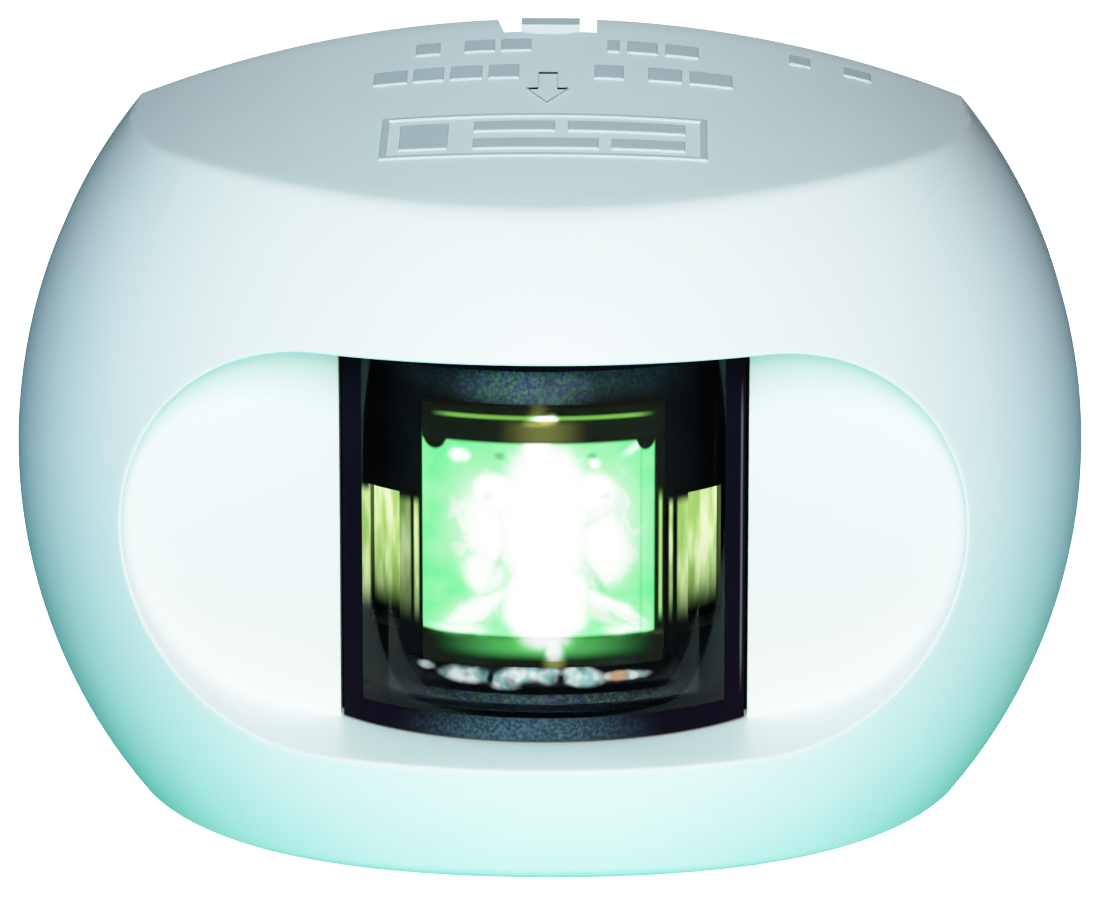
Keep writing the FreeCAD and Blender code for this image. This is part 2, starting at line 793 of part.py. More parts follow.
def build_reflector():
    """White reflector with a conical cup over each lamp."""
    depth = ("led_front", "led_front + reflector_height")
    blank = centred("reflector_blank", "reflector_half_width", depth, "reflector_half_height")
    cups = [
        cone(f"cup_{name}", "0", z, depth, ("cup_floor_radius", "cup_mouth_radius"))
        for name, z in (("upper", "led_half_spacing"), ("lower", "-led_half_spacing"))
    ]
    return cut("reflector", blank, *cups)


def build_lamps():
    """Two surface-mounted lamps, one above the other."""
    lamps = [
        block(
            f"lamp_{name}",
            ("-led_half_side", "led_half_side"),
            ("led_front", "led_front + led_height"),
            (f"{z} - led_half_side", f"{z} + led_half_side"),
        )
        for name, z in (("upper", "led_half_spacing"), ("lower", "-led_half_spacing"))
    ]
    return join("led_emitters", *lamps)


def plate_with_holes(label, depth):
    """Board or plate with the four screw holes."""
    blank = centred(label + "_blank", "board_half_width", depth, "board_half_height")
    deep = (f"{depth[0]} - through", f"{depth[1]} + through")
    return cut(label, blank, four(label + "_holes", deep, "screw_radius + screw_fit"))


def build_driver_board():
    """Driver board, drilled for the screws and the two leads."""
    depth = ("driver_back", "driver_front")
    drilled = plate_with_holes("driver_board_drilled", depth)
    deep = ("driver_back - through", "driver_front + through")
    leads = pair("lead_holes", "lead_half_spacing", "-cable_drop", deep, "lead_radius")
    return cut("driver_board", drilled, leads)


def build_screws():
    """Fasteners and spacers of the module and the base."""
    spacers = cut(
        "board_spacers",
        four("spacer_blanks", ("driver_front", "sink_back"), "spacer_radius"),
        four("spacer_bores", ("driver_back", "sink_front"), "screw_radius + screw_fit"),
    )
    shank = four("module_shanks", ("driver_back - screw_bite", "led_front"), "screw_radius")
    head_depth = ("led_front", "led_front + screw_head_height")
    heads = four("module_heads", head_depth, "screw_head_radius")
    module_screws = join("module_screws", shank, heads)

    half = "base_screw_half_spacing"
    head_end = "base_back + base_screw_head_height"
    base_heads = pair("base_heads", half, "0", ("base_back", head_end), "base_screw_head_radius")
    shank_depth = (head_end, "case_inside + base_screw_boss_height")
    base_shanks = pair("base_shanks", half, "0", shank_depth, "base_screw_radius")
    base_screws = join("base_screws", base_heads, base_shanks)
    return [spacers, module_screws, base_screws]


def build_entry():
    """Cable grommet, with the two leads that run from it to the driver board."""
    tube = rod("grommet_tube", "0", "-cable_drop", ("0", "case_inside"), "grommet_radius")
    flange_depth = ("case_inside", "grommet_front")
    flange = rod("grommet_flange", "0", "-cable_drop", flange_depth, "grommet_flange_radius")
    bore_depth = ("-through", "cable_bore_length")
    bore = rod("grommet_bore", "0", "-cable_drop", bore_depth, "cable_bore_radius")
    deep = ("cable_bore_length - through", "grommet_front + through")
    lead_bores = pair("grommet_lead_bores", "lead_half_spacing", "-cable_drop", deep, "lead_radius")
    grommet = cut("cable_grommet", join("grommet_solid", tube, flange), bore, lead_bores)

    reach = ("cable_bore_length", "driver_front + lead_end")
    red = rod("red_lead", "-lead_half_spacing", "-cable_drop", reach, "lead_radius")
    black = rod("black_lead", "lead_half_spacing", "-cable_drop", reach, "lead_radius")
    solder_depth = ("driver_front", "driver_front + solder_height")
    half = "lead_half_spacing"
    blobs = pair("solder_blobs", half, "-cable_drop", solder_depth, "solder_radius")
    deep = ("driver_back", "driver_front + through")
    bores = pair("solder_bores", half, "-cable_drop", deep, "lead_radius")
    return [grommet, red, black, cut("solder_joints", blobs, bores)]


def component(label, kind, turned=False):
    """Rectangular component on the driver board, upright or turned on its side."""
    half_x, half_z = f"{kind}_half_width", f"{kind}_half_height"
    if turned:
        half_x, half_z = half_z, half_x
    return block(
        label,
        (f"{label}_x - {half_x}", f"{label}_x + {half_x}"),
        ("driver_front", f"driver_front + {kind}_thickness"),
        (f"{label}_z - {half_z}", f"{label}_z + {half_z}"),
    )


def build_components():
    """Driver circuit: inductor, controller, capacitors, diodes and resistors."""
    winding = ("driver_front", "driver_front + inductor_height")
    return [
        rod("inductor", "inductor_x", "inductor_z", winding, "inductor_radius"),
        component("controller_chip", "chip"),
        join(
            "capacitors",
            component("input_capacitor", "capacitor"),
            component("output_capacitor", "capacitor"),
        ),
        join(
            "diodes",
            component("input_diode", "diode"),
            component("catch_diode", "diode", turned=True),
        ),
        join(
            "resistors",
            component("sense_resistor", "resistor"),
            component("set_resistor", "resistor"),
            component("gate_resistor", "resistor"),
            component("bleed_resistor", "resistor"),
        ),
    ]


pieces = [
    build_housing(),
    build_base(),
    build_gasket(),
    build_latch(),
    build_case(),
    build_outer_lens(),
    build_seal(),
    build_light_box(),
    build_colour_lens(),
    build_reflector(),
    build_lamps(),
    plate_with_holes("led_board", ("sink_front", "led_front")),
    plate_with_holes("heat_sink", ("sink_back", "sink_front")),
    build_driver_board(),
    *build_screws(),
    *build_entry(),
    *build_components(),
]
doc.recompute()

broken = [o.Label for o in doc.Objects if {"Invalid", "Error"} & set(o.State)]
if broken:
    raise RuntimeError("failed objects: " + ", ".join(broken))
for piece in pieces:
    if piece.Shape.isNull() or not piece.Shape.isValid() or piece.Shape.Volume <= 0:
        raise RuntimeError("bad shape: " + piece.Label)

os.makedirs("parts", exist_ok=True)
for piece in pieces:
    piece.Shape.exportStep(f"parts/{piece.Label}.step")
    print(f"{piece.Label}: {len(piece.Shape.Solids)} solids, {piece.Shape.Volume:.1f} mm3")
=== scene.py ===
import logging
import math
from dataclasses import dataclass
from enum import Enum
from functools import reduce
from typing import Callable, Optional, Sequence, Union

import bmesh
import bpy
from mathutils import Matrix, Vector


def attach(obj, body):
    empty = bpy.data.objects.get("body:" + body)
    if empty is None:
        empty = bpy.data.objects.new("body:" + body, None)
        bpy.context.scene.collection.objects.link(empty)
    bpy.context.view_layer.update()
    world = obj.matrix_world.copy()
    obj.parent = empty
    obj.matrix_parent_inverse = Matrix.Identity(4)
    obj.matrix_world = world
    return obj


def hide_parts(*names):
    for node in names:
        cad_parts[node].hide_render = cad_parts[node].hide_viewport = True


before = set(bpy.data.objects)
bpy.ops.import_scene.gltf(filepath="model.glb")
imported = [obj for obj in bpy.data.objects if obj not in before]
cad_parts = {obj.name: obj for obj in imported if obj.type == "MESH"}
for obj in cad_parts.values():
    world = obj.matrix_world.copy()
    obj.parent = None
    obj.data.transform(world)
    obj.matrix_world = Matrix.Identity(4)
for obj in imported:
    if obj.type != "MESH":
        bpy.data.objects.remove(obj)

log = logging.getLogger("navigation_light")

Point = tuple[float, float]
Colour = tuple[float, float, float, float]
MM = 0.001
# points closer than this are one
WELD = 2e-6
# a length out of the light's reach, in metres, and a sine that counts as nothing
FAR = 1.0
TINY = 1e-9


def linear(colour: str) -> Colour:
    """Linear colour of an sRGB value.

    Args:
        colour: the value, such as #f4f6f5.

    Returns:
        Red, green, blue and an alpha of 1.
    """
    parts = [int(colour[i : i + 2], 16) / 255 for i in (1, 3, 5)]
    red, green, blue = (
        p / 12.92 if p <= 0.04045 else ((p + 0.055) / 1.055) ** 2.4 for p in parts
    )
    return red, green, blue, 1.0


class Body(Enum):
    """Rigid bodies of the model."""

    BASE = "base"
    COVER = "cover"


# ---------------------------------------------------------------- node helpers


@dataclass(frozen=True)
class Spot:
    """Soft oval on the front of a lens, in millimetres and degrees."""

    x: float
    z: float
    half_width: float
    half_height: float
    soft: float = 0.4
    turn: float = 0.0
    strength: float = 1.0


class Field:
    """Value that varies over a surface; arithmetic on it adds the nodes it needs."""

    def __init__(self, graph: "Graph", socket: bpy.types.NodeSocket) -> None:
        self.graph = graph
        self.socket = socket

    def work(self, operation: str, *others: "Value") -> "Field":
        """Result of one step of arithmetic."""
        return self.graph.add("Math", dict(enumerate((self, *others))), operation=operation)

    def __mul__(self, other: "Value") -> "Field":
        """Product of two values."""
        return self.work("MULTIPLY", other)

    def __add__(self, other: "Value") -> "Field":
        """Sum of two values."""
        return self.work("ADD", other)

    def __rsub__(self, other: float) -> "Field":
        """What is left of a number without this value."""
        return self.graph.add("Math", {0: other, 1: self}, operation="SUBTRACT")

    def __abs__(self) -> "Field":
        """Size of the value, whatever its sign."""
        return self.work("ABSOLUTE")

    def above(self, limit: float) -> "Field":
        """1 above a limit and 0 below it."""
        return self.work("GREATER_THAN", limit)

    def most(self, other: "Value") -> "Field":
        """Larger of two values."""
        return self.work("MAXIMUM", other)

    def blend(self, zero: "Value", one: "Value") -> "Field":
        """Colour that goes from zero to one as this value goes from 0 to 1."""
        return self.graph.add("Mix", {0: self, 6: zero, 7: one}, data_type="RGBA")

    def step(self, start: float, end: float) -> "Field":
        """Smooth change of this value's reading.

        Args:
            start: the value that reads as 0.
            end: the value that reads as 1, above or below start.

        Returns:
            The reading, from 0 to 1.
        """
        down = start > end
        links = {
            "Value": self,
            "From Min": min(start, end),
            "From Max": max(start, end),
            "To Min": 1.0 if down else 0.0,
            "To Max": 0.0 if down else 1.0,
        }
        return self.graph.add("MapRange", links, interpolation_type="SMOOTHSTEP")

    def band(self, low: float, high: float, soft: float) -> "Field":
        """1 between low and high, with soft ends."""
        return self.step(low - soft, low + soft) * self.step(high + soft, high - soft)


Value = Union[Field, float, tuple]


class Graph:
    """Node tree of one material, with its Principled shader."""

    def __init__(self, name: str) -> None:
        self.material = bpy.data.materials.new(name)
        self.material.use_nodes = True
        self.tree = self.material.node_tree
        self.shader = self.tree.nodes["Principled BSDF"]

    def add(
        self, kind: str, links: Optional[dict] = None, out: Optional[str] = None, **settings
    ) -> Field:
        """Add a node.

        Args:
            kind: the node's type, without the word ShaderNode.
            links: the name or number of an input, to a field or a constant.
            out: the output to return, or none for the first in use.
            settings: properties of the node itself.

        Returns:
            The output.
        """
        node = self.tree.nodes.new("ShaderNode" + kind)
        for name, value in settings.items():
            setattr(node, name, value)
        for key, value in (links or {}).items():
            self.feed(node.inputs[key], value)
        used = [socket for socket in node.outputs if socket.enabled]
        return Field(self, node.outputs[out] if out else used[0])

    def feed(self, socket: bpy.types.NodeSocket, value: Value) -> None:
        """Link a socket, or set its constant."""
        if isinstance(value, Field):
            self.tree.links.new(value.socket, socket)
        else:
            socket.default_value = value

    def give(self, name: str, value: Value) -> None:
        """Feed one of the shader's own inputs."""
        self.feed(self.shader.inputs[name], value)

    def place(self, per_metre: Value = (1.0, 1.0, 1.0)) -> Field:
        """Object coordinates, each times a number to the metre."""
        place = self.add("TexCoord", out="Object")
        return self.add("VectorMath", {0: place, 1: per_metre}, operation="MULTIPLY")

    def axes(self) -> dict[str, Field]:
        """Object coordinates apart, in millimetres."""
        place = self.place((1 / MM,) * 3)
        return {axis: self.add("SeparateXYZ", {0: place}, axis) for axis in "XYZ"}

    def lumps(self, per_mm: float, detail: float = 3.0, swirl: float = 0.0) -> Field:
        """Noise with a number of lumps to the millimetre."""
        links = {"Vector": self.place(), "Scale": per_mm / MM, "Detail": detail}
        return self.add("TexNoise", {**links, "Distortion": swirl})

    def ripple(self, per_mm: float, reach_mm: float) -> Field:
        """Places seen from the front, shaken a little by noise.

        Args:
            per_mm: how many lumps of noise lie in a millimetre.
            reach_mm: how far a place is shaken.

        Returns:
            A vector of x and z, in millimetres.
        """
        noise = self.add("TexNoise", {"Vector": self.place(), "Scale": per_mm / MM}, "Color")
        shake = self.add("VectorMath", {0: noise, 1: (0.5,) * 3}, operation="SUBTRACT")
        links = {0: shake, 1: (reach_mm,) * 3, 2: self.place((1 / MM,) * 3)}
        shaken = self.add("VectorMath", links, operation="MULTIPLY_ADD")
        across, up = (self.add("SeparateXYZ", {0: shaken}, axis) for axis in "XZ")
        return self.add("CombineXYZ", {0: across, 1: up})

    def spot(self, flat: Field, spot: Spot) -> Field:
        """How much of a soft oval covers a place.

        Args:
            flat: places seen from the front, in millimetres.
            spot: the oval.

        Returns:
            The oval's strength inside it, and 0 outside.
        """
        links = {
            "Vector": flat,
            "Location": (spot.x, spot.z, 0),
            "Rotation": (0, 0, math.radians(spot.turn)),
            "Scale": (spot.half_width, spot.half_height, 1),
        }
        local = self.add("Mapping", links, vector_type="TEXTURE")
        away = self.add("VectorMath", {0: local}, operation="LENGTH")
        return away.step(1 + spot.soft, 1 - spot.soft) * spot.strength

    def spots(self, flat: Field, spots: Sequence[Spot]) -> Field:
        """Strongest of several soft ovals."""
        return reduce(Field.most, [self.spot(flat, spot) for spot in spots])

    def relief(self, height: Field, depth_mm: float) -> None:
        """Give the shader a bump of a real depth."""
        bump = self.add("Bump", {"Height": height, "Distance": depth_mm * MM, "Strength": 1.0})
        self.give("Normal", bump)


# ---------------------------------------------------------------- finishes


@dataclass(frozen=True)
class Moulded:
    """Moulded plastic or rubber: fine spark-eroded grain with slight mottling."""

    name: str
    colour: str
    shade: str
    roughness: float
    grain_per_mm: float = 4.0
    grain_mm: float = 0.012
    specular: float = 0.5

    MOTTLE_PER_MM = 0.15
    SWING = 0.06

    def make(self) -> bpy.types.Material:
        """Make the material."""
        graph = Graph(self.name)
        mottle = graph.lumps(self.MOTTLE_PER_MM)
        grain = graph.lumps(self.grain_per_mm, 2.0)
        graph.give("Base Color", mottle.blend(linear(self.colour), linear(self.shade)))
        graph.give("Specular IOR Level", self.specular)
        graph.give("Roughness", grain * (2 * self.SWING) + (self.roughness - self.SWING))
        graph.relief(grain, self.grain_mm)
        return graph.material


@dataclass(frozen=True)
class Metal:
    """Bare metal with fine turning or rolling lines along one direction."""

    name: str
    colour: str
    shade: str
    roughness: float

    LINES_PER_METRE = (8000, 300, 8000)
    LINE_MM = 0.004
    SWING = 0.08

    def make(self) -> bpy.types.Material:
        """Make the material."""
        graph = Graph(self.name)
        graph.give("Metallic", 1.0)
        lines = graph.add("TexNoise", {"Vector": graph.place(self.LINES_PER_METRE), "Scale": 1.0})
        graph.give("Base Color", lines.blend(linear(self.colour), linear(self.shade)))
        graph.give("Roughness", lines * (2 * self.SWING) + (self.roughness - self.SWING))
        graph.relief(lines, self.LINE_MM)
        return graph.material


@dataclass(frozen=True)
class ClearLens:
    """Polished clear acrylic, with a trace of ripple; its edges are painted black as shade, its
    lower lip carries a painted haze of light, and its right edge a painted highlight.
    """

    name: str
    tint: str
    painted_dark_edge: str
    painted_haze: str
    edge_x_mm: float
    edge_z_mm: float

    RIPPLE_PER_MM = 0.12
    PAINTED_HAZE = Spot(-0.9, -12.3, 5.0, 1.5, 0.8, 0.0, 0.7)
    # painted highlight on the edge at the right: its low and high ends and their softness, in
    # millimetres
    HIGHLIGHT_X = (12.5, 12.62, 0.05)
    HIGHLIGHT_Z = (-9.5, 8.0, 2.0)

    def make(self) -> bpy.types.Material:
        """Make the material."""
        graph = Graph(self.name)
        graph.give("IOR", 1.3)
        graph.give("Specular IOR Level", 0.05)
        at = graph.axes()
        # painted shade: past these edges the lens is drawn dark and not clear
        painted_dark_edge = abs(at["X"]).above(self.edge_x_mm).most(abs(at["Z"]).above(self.edge_z_mm))
        ripple = graph.lumps(self.RIPPLE_PER_MM)
        clear = ripple.blend(linear(self.tint), linear("#ffffff"))
        # painted haze of light on the lens's lower lip, with a grainy speckle
        painted_haze = graph.spot(graph.ripple(0.5, 0.3), self.PAINTED_HAZE) * speckle(graph)
        dark = painted_haze.blend(linear(self.painted_dark_edge), linear(self.painted_haze))
        graph.give("Base Color", painted_dark_edge.blend(clear, dark))
        graph.give("Transmission Weight", 1.0 - painted_dark_edge)
        graph.give("Roughness", ripple * 0.03 + painted_dark_edge)
        # painted highlight: the right edge glows grey as if it caught the light
        corner = at["X"].band(*self.HIGHLIGHT_X) * at["Z"].band(*self.HIGHLIGHT_Z)
        graph.give("Emission Color", linear("#a9b4b8"))
        graph.give("Emission Strength", corner * 0.3)
        return graph.material


def speckle(graph: Graph) -> Field:
    """Grainy speckle of the painted haze of lamp light, drawn at 4.5 grains to the millimetre so
    that it shows.
    """
    return graph.lumps(4.5, 2.0).step(0.35, 0.7) * 0.35 + 0.2


def slot_glow(graph: Graph, at: dict[str, Field], centre_mm: float) -> tuple[Field, Field]:
    """Streaky lamp light painted in the side slots, dimmer towards the bottom.

    Args:
        graph: the material's nodes.
        at: object coordinates in millimetres.
        centre_mm: height of the middle of the slots.

    Returns:
        The light's colour and its power.
    """
    streak = graph.add("TexNoise", {"Vector": graph.place((900, 900, 240)), "Scale": 1.0})
    streak = streak.step(0.3, 0.7)
    fall = at["Z"].step(centre_mm - 5.0, centre_mm + 2.2) * 1.2 + 0.25
    reach = at["Z"].band(centre_mm - 3.0, centre_mm + 4.6, 1.1)
    return streak.blend(linear("#a4d468"), linear("#daf9ac")), (streak * 0.5 + 0.8) * fall * reach


@dataclass(frozen=True)
class DarkMask:
    """Matt black moulding, with a painted haze of light above and below its window, and painted
    glints on its slot edges.
    """

    name: str
    colour: str
    lit: str
    lit_green: str
    slot_centre_mm: float

    PAINTED_HAZES = (
        Spot(0.2, 10.6, 6.5, 1.6, 0.7, 0.0, 0.3),
        Spot(-0.9, 9.9, 3.4, 1.3, 0.8),
        Spot(0.0, -11.2, 7.0, 1.4, 0.7, 0.0, 0.4),
    )
    # left and right edge of each painted glint stripe, in millimetres, and its strength
    GLINTS = (
        (-11.4, -10.1, 0.9),
        (-9.0, -8.2, 0.4),
        (-7.98, -7.7, 1.0),
        (7.75, 7.95, 1.0),
        (8.25, 9.0, 0.9),
    )
    # where the stripes begin to show, and where they show in full, in millimetres
    FRONT = (-23.5, -24.5)

    def make(self) -> bpy.types.Material:
        """Make the material."""
        graph = Graph(self.name)
        at = graph.axes()
        # painted haze of light above and below the window, in the lit colours
        painted_haze = graph.spots(graph.ripple(0.5, 0.3), self.PAINTED_HAZES) * speckle(graph)
        hue = graph.lumps(2.0, 1.0).step(0.42, 0.58)
        lit = hue.blend(linear(self.lit), linear(self.lit_green))
        graph.give("Base Color", painted_haze.blend(linear(self.colour), lit))
        graph.give("Roughness", 0.6)
        graph.give("Specular IOR Level", 0.15)
        colour, power = slot_glow(graph, at, self.slot_centre_mm)
        # painted glints: lamp light drawn as glowing stripes on the slot edges
        stripes = [at["X"].band(low, high, 0.07) * power * share for low, high, share in self.GLINTS]
        reach = at["Z"].band(-9.0, self.slot_centre_mm + 4.1, 0.4) * at["Y"].step(*self.FRONT)
        graph.give("Emission Color", colour)
        graph.give("Emission Strength", reduce(Field.most, stripes) * reach)
        graph.relief(graph.lumps(4.0, 2.0), 0.01)
        return graph.material


@dataclass(frozen=True)
class GreenLens:
    """Green acrylic with the light of two lamps painted on it as glow: white-hot core, green sides,
    olive wings.
    """

    name: str
    slot_centre_mm: float

    CORE = (
        Spot(-0.3, 5.2, 0.8, 2.4, 0.7, 0.0, 1.1),
        Spot(0.1, 1.2, 2.3, 4.0, 0.6, 0.0, 1.5),
        Spot(0.2, -4.2, 2.1, 2.5, 0.6, 0.0, 1.5),
        Spot(0.7, -6.9, 0.6, 1.6, 0.8, 0.0, 0.8),
        Spot(-3.0, 3.0, 1.25, 1.05, 0.5),
        Spot(3.1, 2.9, 1.25, 1.1, 0.5),
        Spot(-3.5, 0.5, 1.0, 1.9, 0.8, 14.0, 0.95),
        Spot(-3.7, -2.4, 1.1, 1.1, 0.8, 0.0, 0.75),
        Spot(3.7, -0.5, 1.1, 2.1, 0.7, 6.0, 0.95),
        Spot(-3.9, -4.6, 2.2, 0.5, 0.9, 32.0, 0.7),
        Spot(4.1, -4.5, 2.4, 0.35, 0.9, -32.0, 0.7),
        Spot(-5.0, -6.1, 1.7, 0.35, 0.9, 0.0, 0.5),
        Spot(5.0, -6.1, 1.5, 0.3, 0.9, 0.0, 0.5),
        Spot(-5.1, 5.2, 0.5, 0.4, 0.9, 20.0, 0.7),
        Spot(3.1, 4.8, 0.35, 0.35, 0.9, 0.0, 0.7),
        Spot(5.6, 5.6, 0.9, 0.3, 0.9, 30.0, 0.45),
        Spot(0.15, 7.75, 0.65, 0.32, 0.6, 0.0, 1.2),
    )
    HALO = (
        Spot(0.2, 0.0, 3.9, 6.4, 0.7),
        Spot(-3.6, 1.0, 2.3, 3.6, 0.7),
        Spot(3.9, 0.6, 2.3, 4.0, 0.7),
        Spot(-4.0, -4.8, 2.9, 1.2, 0.8, 30.0, 0.8),
        Spot(4.0, -4.8, 2.6, 1.0, 0.8, -30.0, 0.8),
        Spot(-5.6, -1.0, 1.6, 1.0, 0.9, 0.0, 0.45),
        Spot(-5.8, 2.6, 1.2, 0.8, 0.9, 0.0, 0.45),
    )
    SHADE = (
        Spot(-2.6, 5.3, 0.34, 0.22, 0.5, 0.0, 0.65),
        Spot(2.95, 5.3, 0.34, 0.22, 0.5, 0.0, 0.65),
        Spot(-3.4, 2.65, 0.36, 0.24, 0.5, 10.0, 0.6),
        Spot(3.85, 2.65, 0.34, 0.24, 0.5, -10.0, 0.6),
        Spot(3.3, 1.1, 0.9, 0.22, 0.6, 28.0, 0.45),
        Spot(-3.0, -2.1, 0.26, 1.35, 0.6, -22.0, 0.4),
        Spot(3.2, -2.6, 0.24, 1.2, 0.6, 32.0, 0.45),
        Spot(-4.1, 0.9, 0.16, 1.3, 0.7, 12.0, 0.25),
        Spot(5.1, -5.2, 1.9, 0.13, 0.7, -28.0, 0.35),
    )
    CORNERS = (
        Spot(-6.65, 6.4, 0.75, 0.95, 0.15),
        Spot(6.3, 6.4, 0.6, 0.95, 0.15),
        Spot(-7.9, -7.5, 2.2, 1.3, 0.12),
        Spot(7.9, -7.5, 2.2, 1.3, 0.12),
    )

    # low and high edges of what the window shows, in millimetres
    BLOCK = (-6.35, 6.1)
    BLOCK_RIGHT = (6.9, 6.7)
    DARK_STRIPE = (5.95, 6.1)
    EDGE_GLINT = (7.1, 7.3)
    TOP_LINE = (7.66, 7.9)
    FOOT = (-7.6, -6.4)
    LAMP_BACK = (6.2, 7.5)
    WINDOW_SIDE = (7.6, 8.0)

    def make(self) -> bpy.types.Material:
        """Make the material."""
        graph = Graph(self.name)
        at = graph.axes()
        window, power = self.window(graph, at)
        slot, glow = slot_glow(graph, at, self.slot_centre_mm)
        outside = abs(at["X"]).step(*self.WINDOW_SIDE)
        graph.give("Base Color", linear("#06140c"))
        graph.give("Roughness", 0.2)
        graph.give("Emission Color", outside.blend(window, slot))
        graph.give("Emission Strength", (1.0 - outside) * power + outside * glow)
        graph.relief(graph.lumps(0.5), 0.02)
        return graph.material

    def window(self, graph: Graph, at: dict[str, Field]) -> tuple[Field, Field]:
        """Painted light of the block that fills the window, and of the rim round it.

        Args:
            graph: the material's nodes.
            at: object coordinates in millimetres.

        Returns:
            The light's colour and its power.
        """
        flat = graph.ripple(0.55, 0.7)
        core = graph.spots(flat, self.CORE)
        colour = self.block(graph, at, flat, core)
        # the painted glow is left dark at four soft corners of the block
        notch = 1.0 - graph.spots(graph.ripple(0.3, 0.1), self.CORNERS)
        body = at["Z"].band(*self.BLOCK, 0.16) * at["X"].step(*self.BLOCK_RIGHT)
        lit = body * notch * (core * 1.7 + 1.6)
        rim_colour, rim = self.rim(at, core)
        return lit.step(0.0, 0.2).blend(rim_colour, colour), lit + rim

    def block(self, graph: Graph, at: dict[str, Field], flat: Field, core: Field) -> Field:
        """Colour of the block's painted glow: green, paler round the lamps, white in front of them.

        Args:
            graph: the material's nodes.
            at: object coordinates in millimetres.
            flat: shaken places seen from the front.
            core: how much of the lamps shows.

        Returns:
            The colour.
        """
        # patches of paler painted glow in the lamp halo
        mottle = graph.lumps(0.5).step(0.3, 0.7)
        halo = (graph.spots(flat, self.HALO) * 0.85).most(mottle * 0.3)
        colour = halo.blend(linear("#5efb80"), linear("#c2ffc2"))
        colour = core.step(0.1, 0.9).blend(colour, linear("#fcfff2"))
        around = halo.step(0.35, 0.7) * core.step(1.0, 0.5)
        # painted caustic: pale flecks of light round the lamps
        painted_caustic = graph.lumps(0.5, 1.0, 0.9).band(0.44, 0.56, 0.05) * around * 0.6
        colour = painted_caustic.blend(colour, linear("#f2fff0"))
        # darker stripe painted into the glow at the block's right
        dark_stripe = at["X"].band(*self.DARK_STRIPE, 0.08) * 0.4
        colour = dark_stripe.blend(colour, linear("#2a9c50"))
        return graph.spots(flat, self.SHADE).blend(colour, linear("#3f8058"))

    def rim(self, at: dict[str, Field], core: Field) -> tuple[Field, Field]:
        """Painted light of the rim: a line above, a glow below, a glint at the right.

        Args:
            at: object coordinates in millimetres.
            core: how much of the lamps shows.

        Returns:
            The light's colour and its power.
        """
        side = abs(at["X"])
        line = at["Z"].band(*self.TOP_LINE, 0.1) * side.step(7.0, 5.4)
        foot = at["Z"].band(*self.FOOT, 0.45) * side.step(7.0, 1.0)
        lamp = at["Z"].band(*self.LAMP_BACK, 0.25) * side.step(3.0, 0.0)
        glint = at["X"].band(*self.EDGE_GLINT, 0.07) * at["Z"].band(-5.4, 2.4, 0.6)
        rim = line.most(foot * 0.8).most(glint)
        beyond = at["Z"].step(7.1, 7.4).most(at["Z"].step(-6.2, -6.6))
        flare = core * beyond * 1.2
        colour = at["Z"].step(-2.0, 0.0).blend(linear("#62d86a"), linear("#7ccb4e"))
        colour = glint.blend(colour, linear("#c8f48e"))
        colour = flare.step(0.1, 0.9).blend(colour, linear("#f2fff4"))
        colour = rim.step(0.02, 0.0).blend(colour, linear("#a9ac56"))
        return colour, rim + flare + (lamp * 0.42 + 0.012)


@dataclass(frozen=True)
class Sparkle:
    """Clear sill of the green lens, painted black as shade, with painted glints of the lamps' light.
    """

    name: str

    GLINTS = (
        Spot(-7.2, -8.8, 0.45, 0.2, 0.6, 0.0, 0.5),
        Spot(-4.7, -9.1, 1.4, 0.45, 0.5, 0.0, 0.8),
        Spot(-1.6, -9.1, 1.4, 0.65, 0.4, 15.0, 1.0),
        Spot(0.3, -8.95, 1.0, 0.45, 0.5, 0.0, 0.8),
        Spot(2.4, -9.1, 1.25, 0.55, 0.4, -6.0, 1.0),
        Spot(5.0, -9.15, 1.35, 0.3, 0.4, 0.0, 0.75),
    )
    GAPS = (
        Spot(-0.8, -9.75, 0.85, 0.45, 0.5),
        Spot(1.1, -9.2, 0.22, 0.7, 0.6),
        Spot(-3.2, -9.1, 0.2, 0.6, 0.6),
    )
    WARM = (4.1, 5.2)

    def make(self) -> bpy.types.Material:
        """Make the material."""
        graph = Graph(self.name)
        flat = graph.ripple(0.8, 0.4)
        fleck = graph.lumps(0.9, 1.0).step(0.3, 0.55) * 0.65 + 0.35
        # painted glints of lamp light, with dark gaps between them
        glint = graph.spots(flat, self.GLINTS) * fleck * (1.0 - graph.spots(flat, self.GAPS))
        colour = graph.lumps(1.2, 1.0).step(0.4, 0.6).blend(linear("#8fc9c4"), linear("#f2ffff"))
        warm = graph.axes()["X"].band(*self.WARM, 0.3)
        # painted shade: the clear sill is drawn near black
        graph.give("Base Color", linear("#050508"))
        graph.give("Roughness", 0.3)
        graph.give("Specular IOR Level", 0.2)
        graph.give("Emission Color", warm.blend(colour, linear("#e3b48a")))
        graph.give("Emission Strength", glint * 1.1)
        return graph.material


Finish = Union[Moulded, Metal, ClearLens, DarkMask, GreenLens, Sparkle]

# white ASA of the housing: bright, faintly rough, barely mottled
WHITE = Moulded("white_moulding", "#f4f6f5", "#eef0ef", 0.42)
# pale grey ASA of the base: a shade darker and duller than the housing
GREY = Moulded("grey_moulding", "#c9cdce", "#c1c5c6", 0.45)
# grey acetal of the latch: smoother, with a soft gloss
LATCH = Moulded("latch_moulding", "#d4d8da", "#c6cacd", 0.38)
# black polycarbonate of the lamp's case: matt, so that it stays dark
BLACK = Moulded("black_moulding", "#050506", "#08080a", 0.6, specular=0.08)
# closed-cell foam of the gasket: dull, with cells that show as coarse grain
FOAM = Moulded("gasket_foam", "#1b1b1d", "#111112", 0.9, 1.5, 0.12)
# black nitrile rubber of the seal and grommet: dull and slightly pebbled
RUBBER = Moulded("black_rubber", "#0e0e0f", "#151516", 0.8, 2.0, 0.03, 0.15)
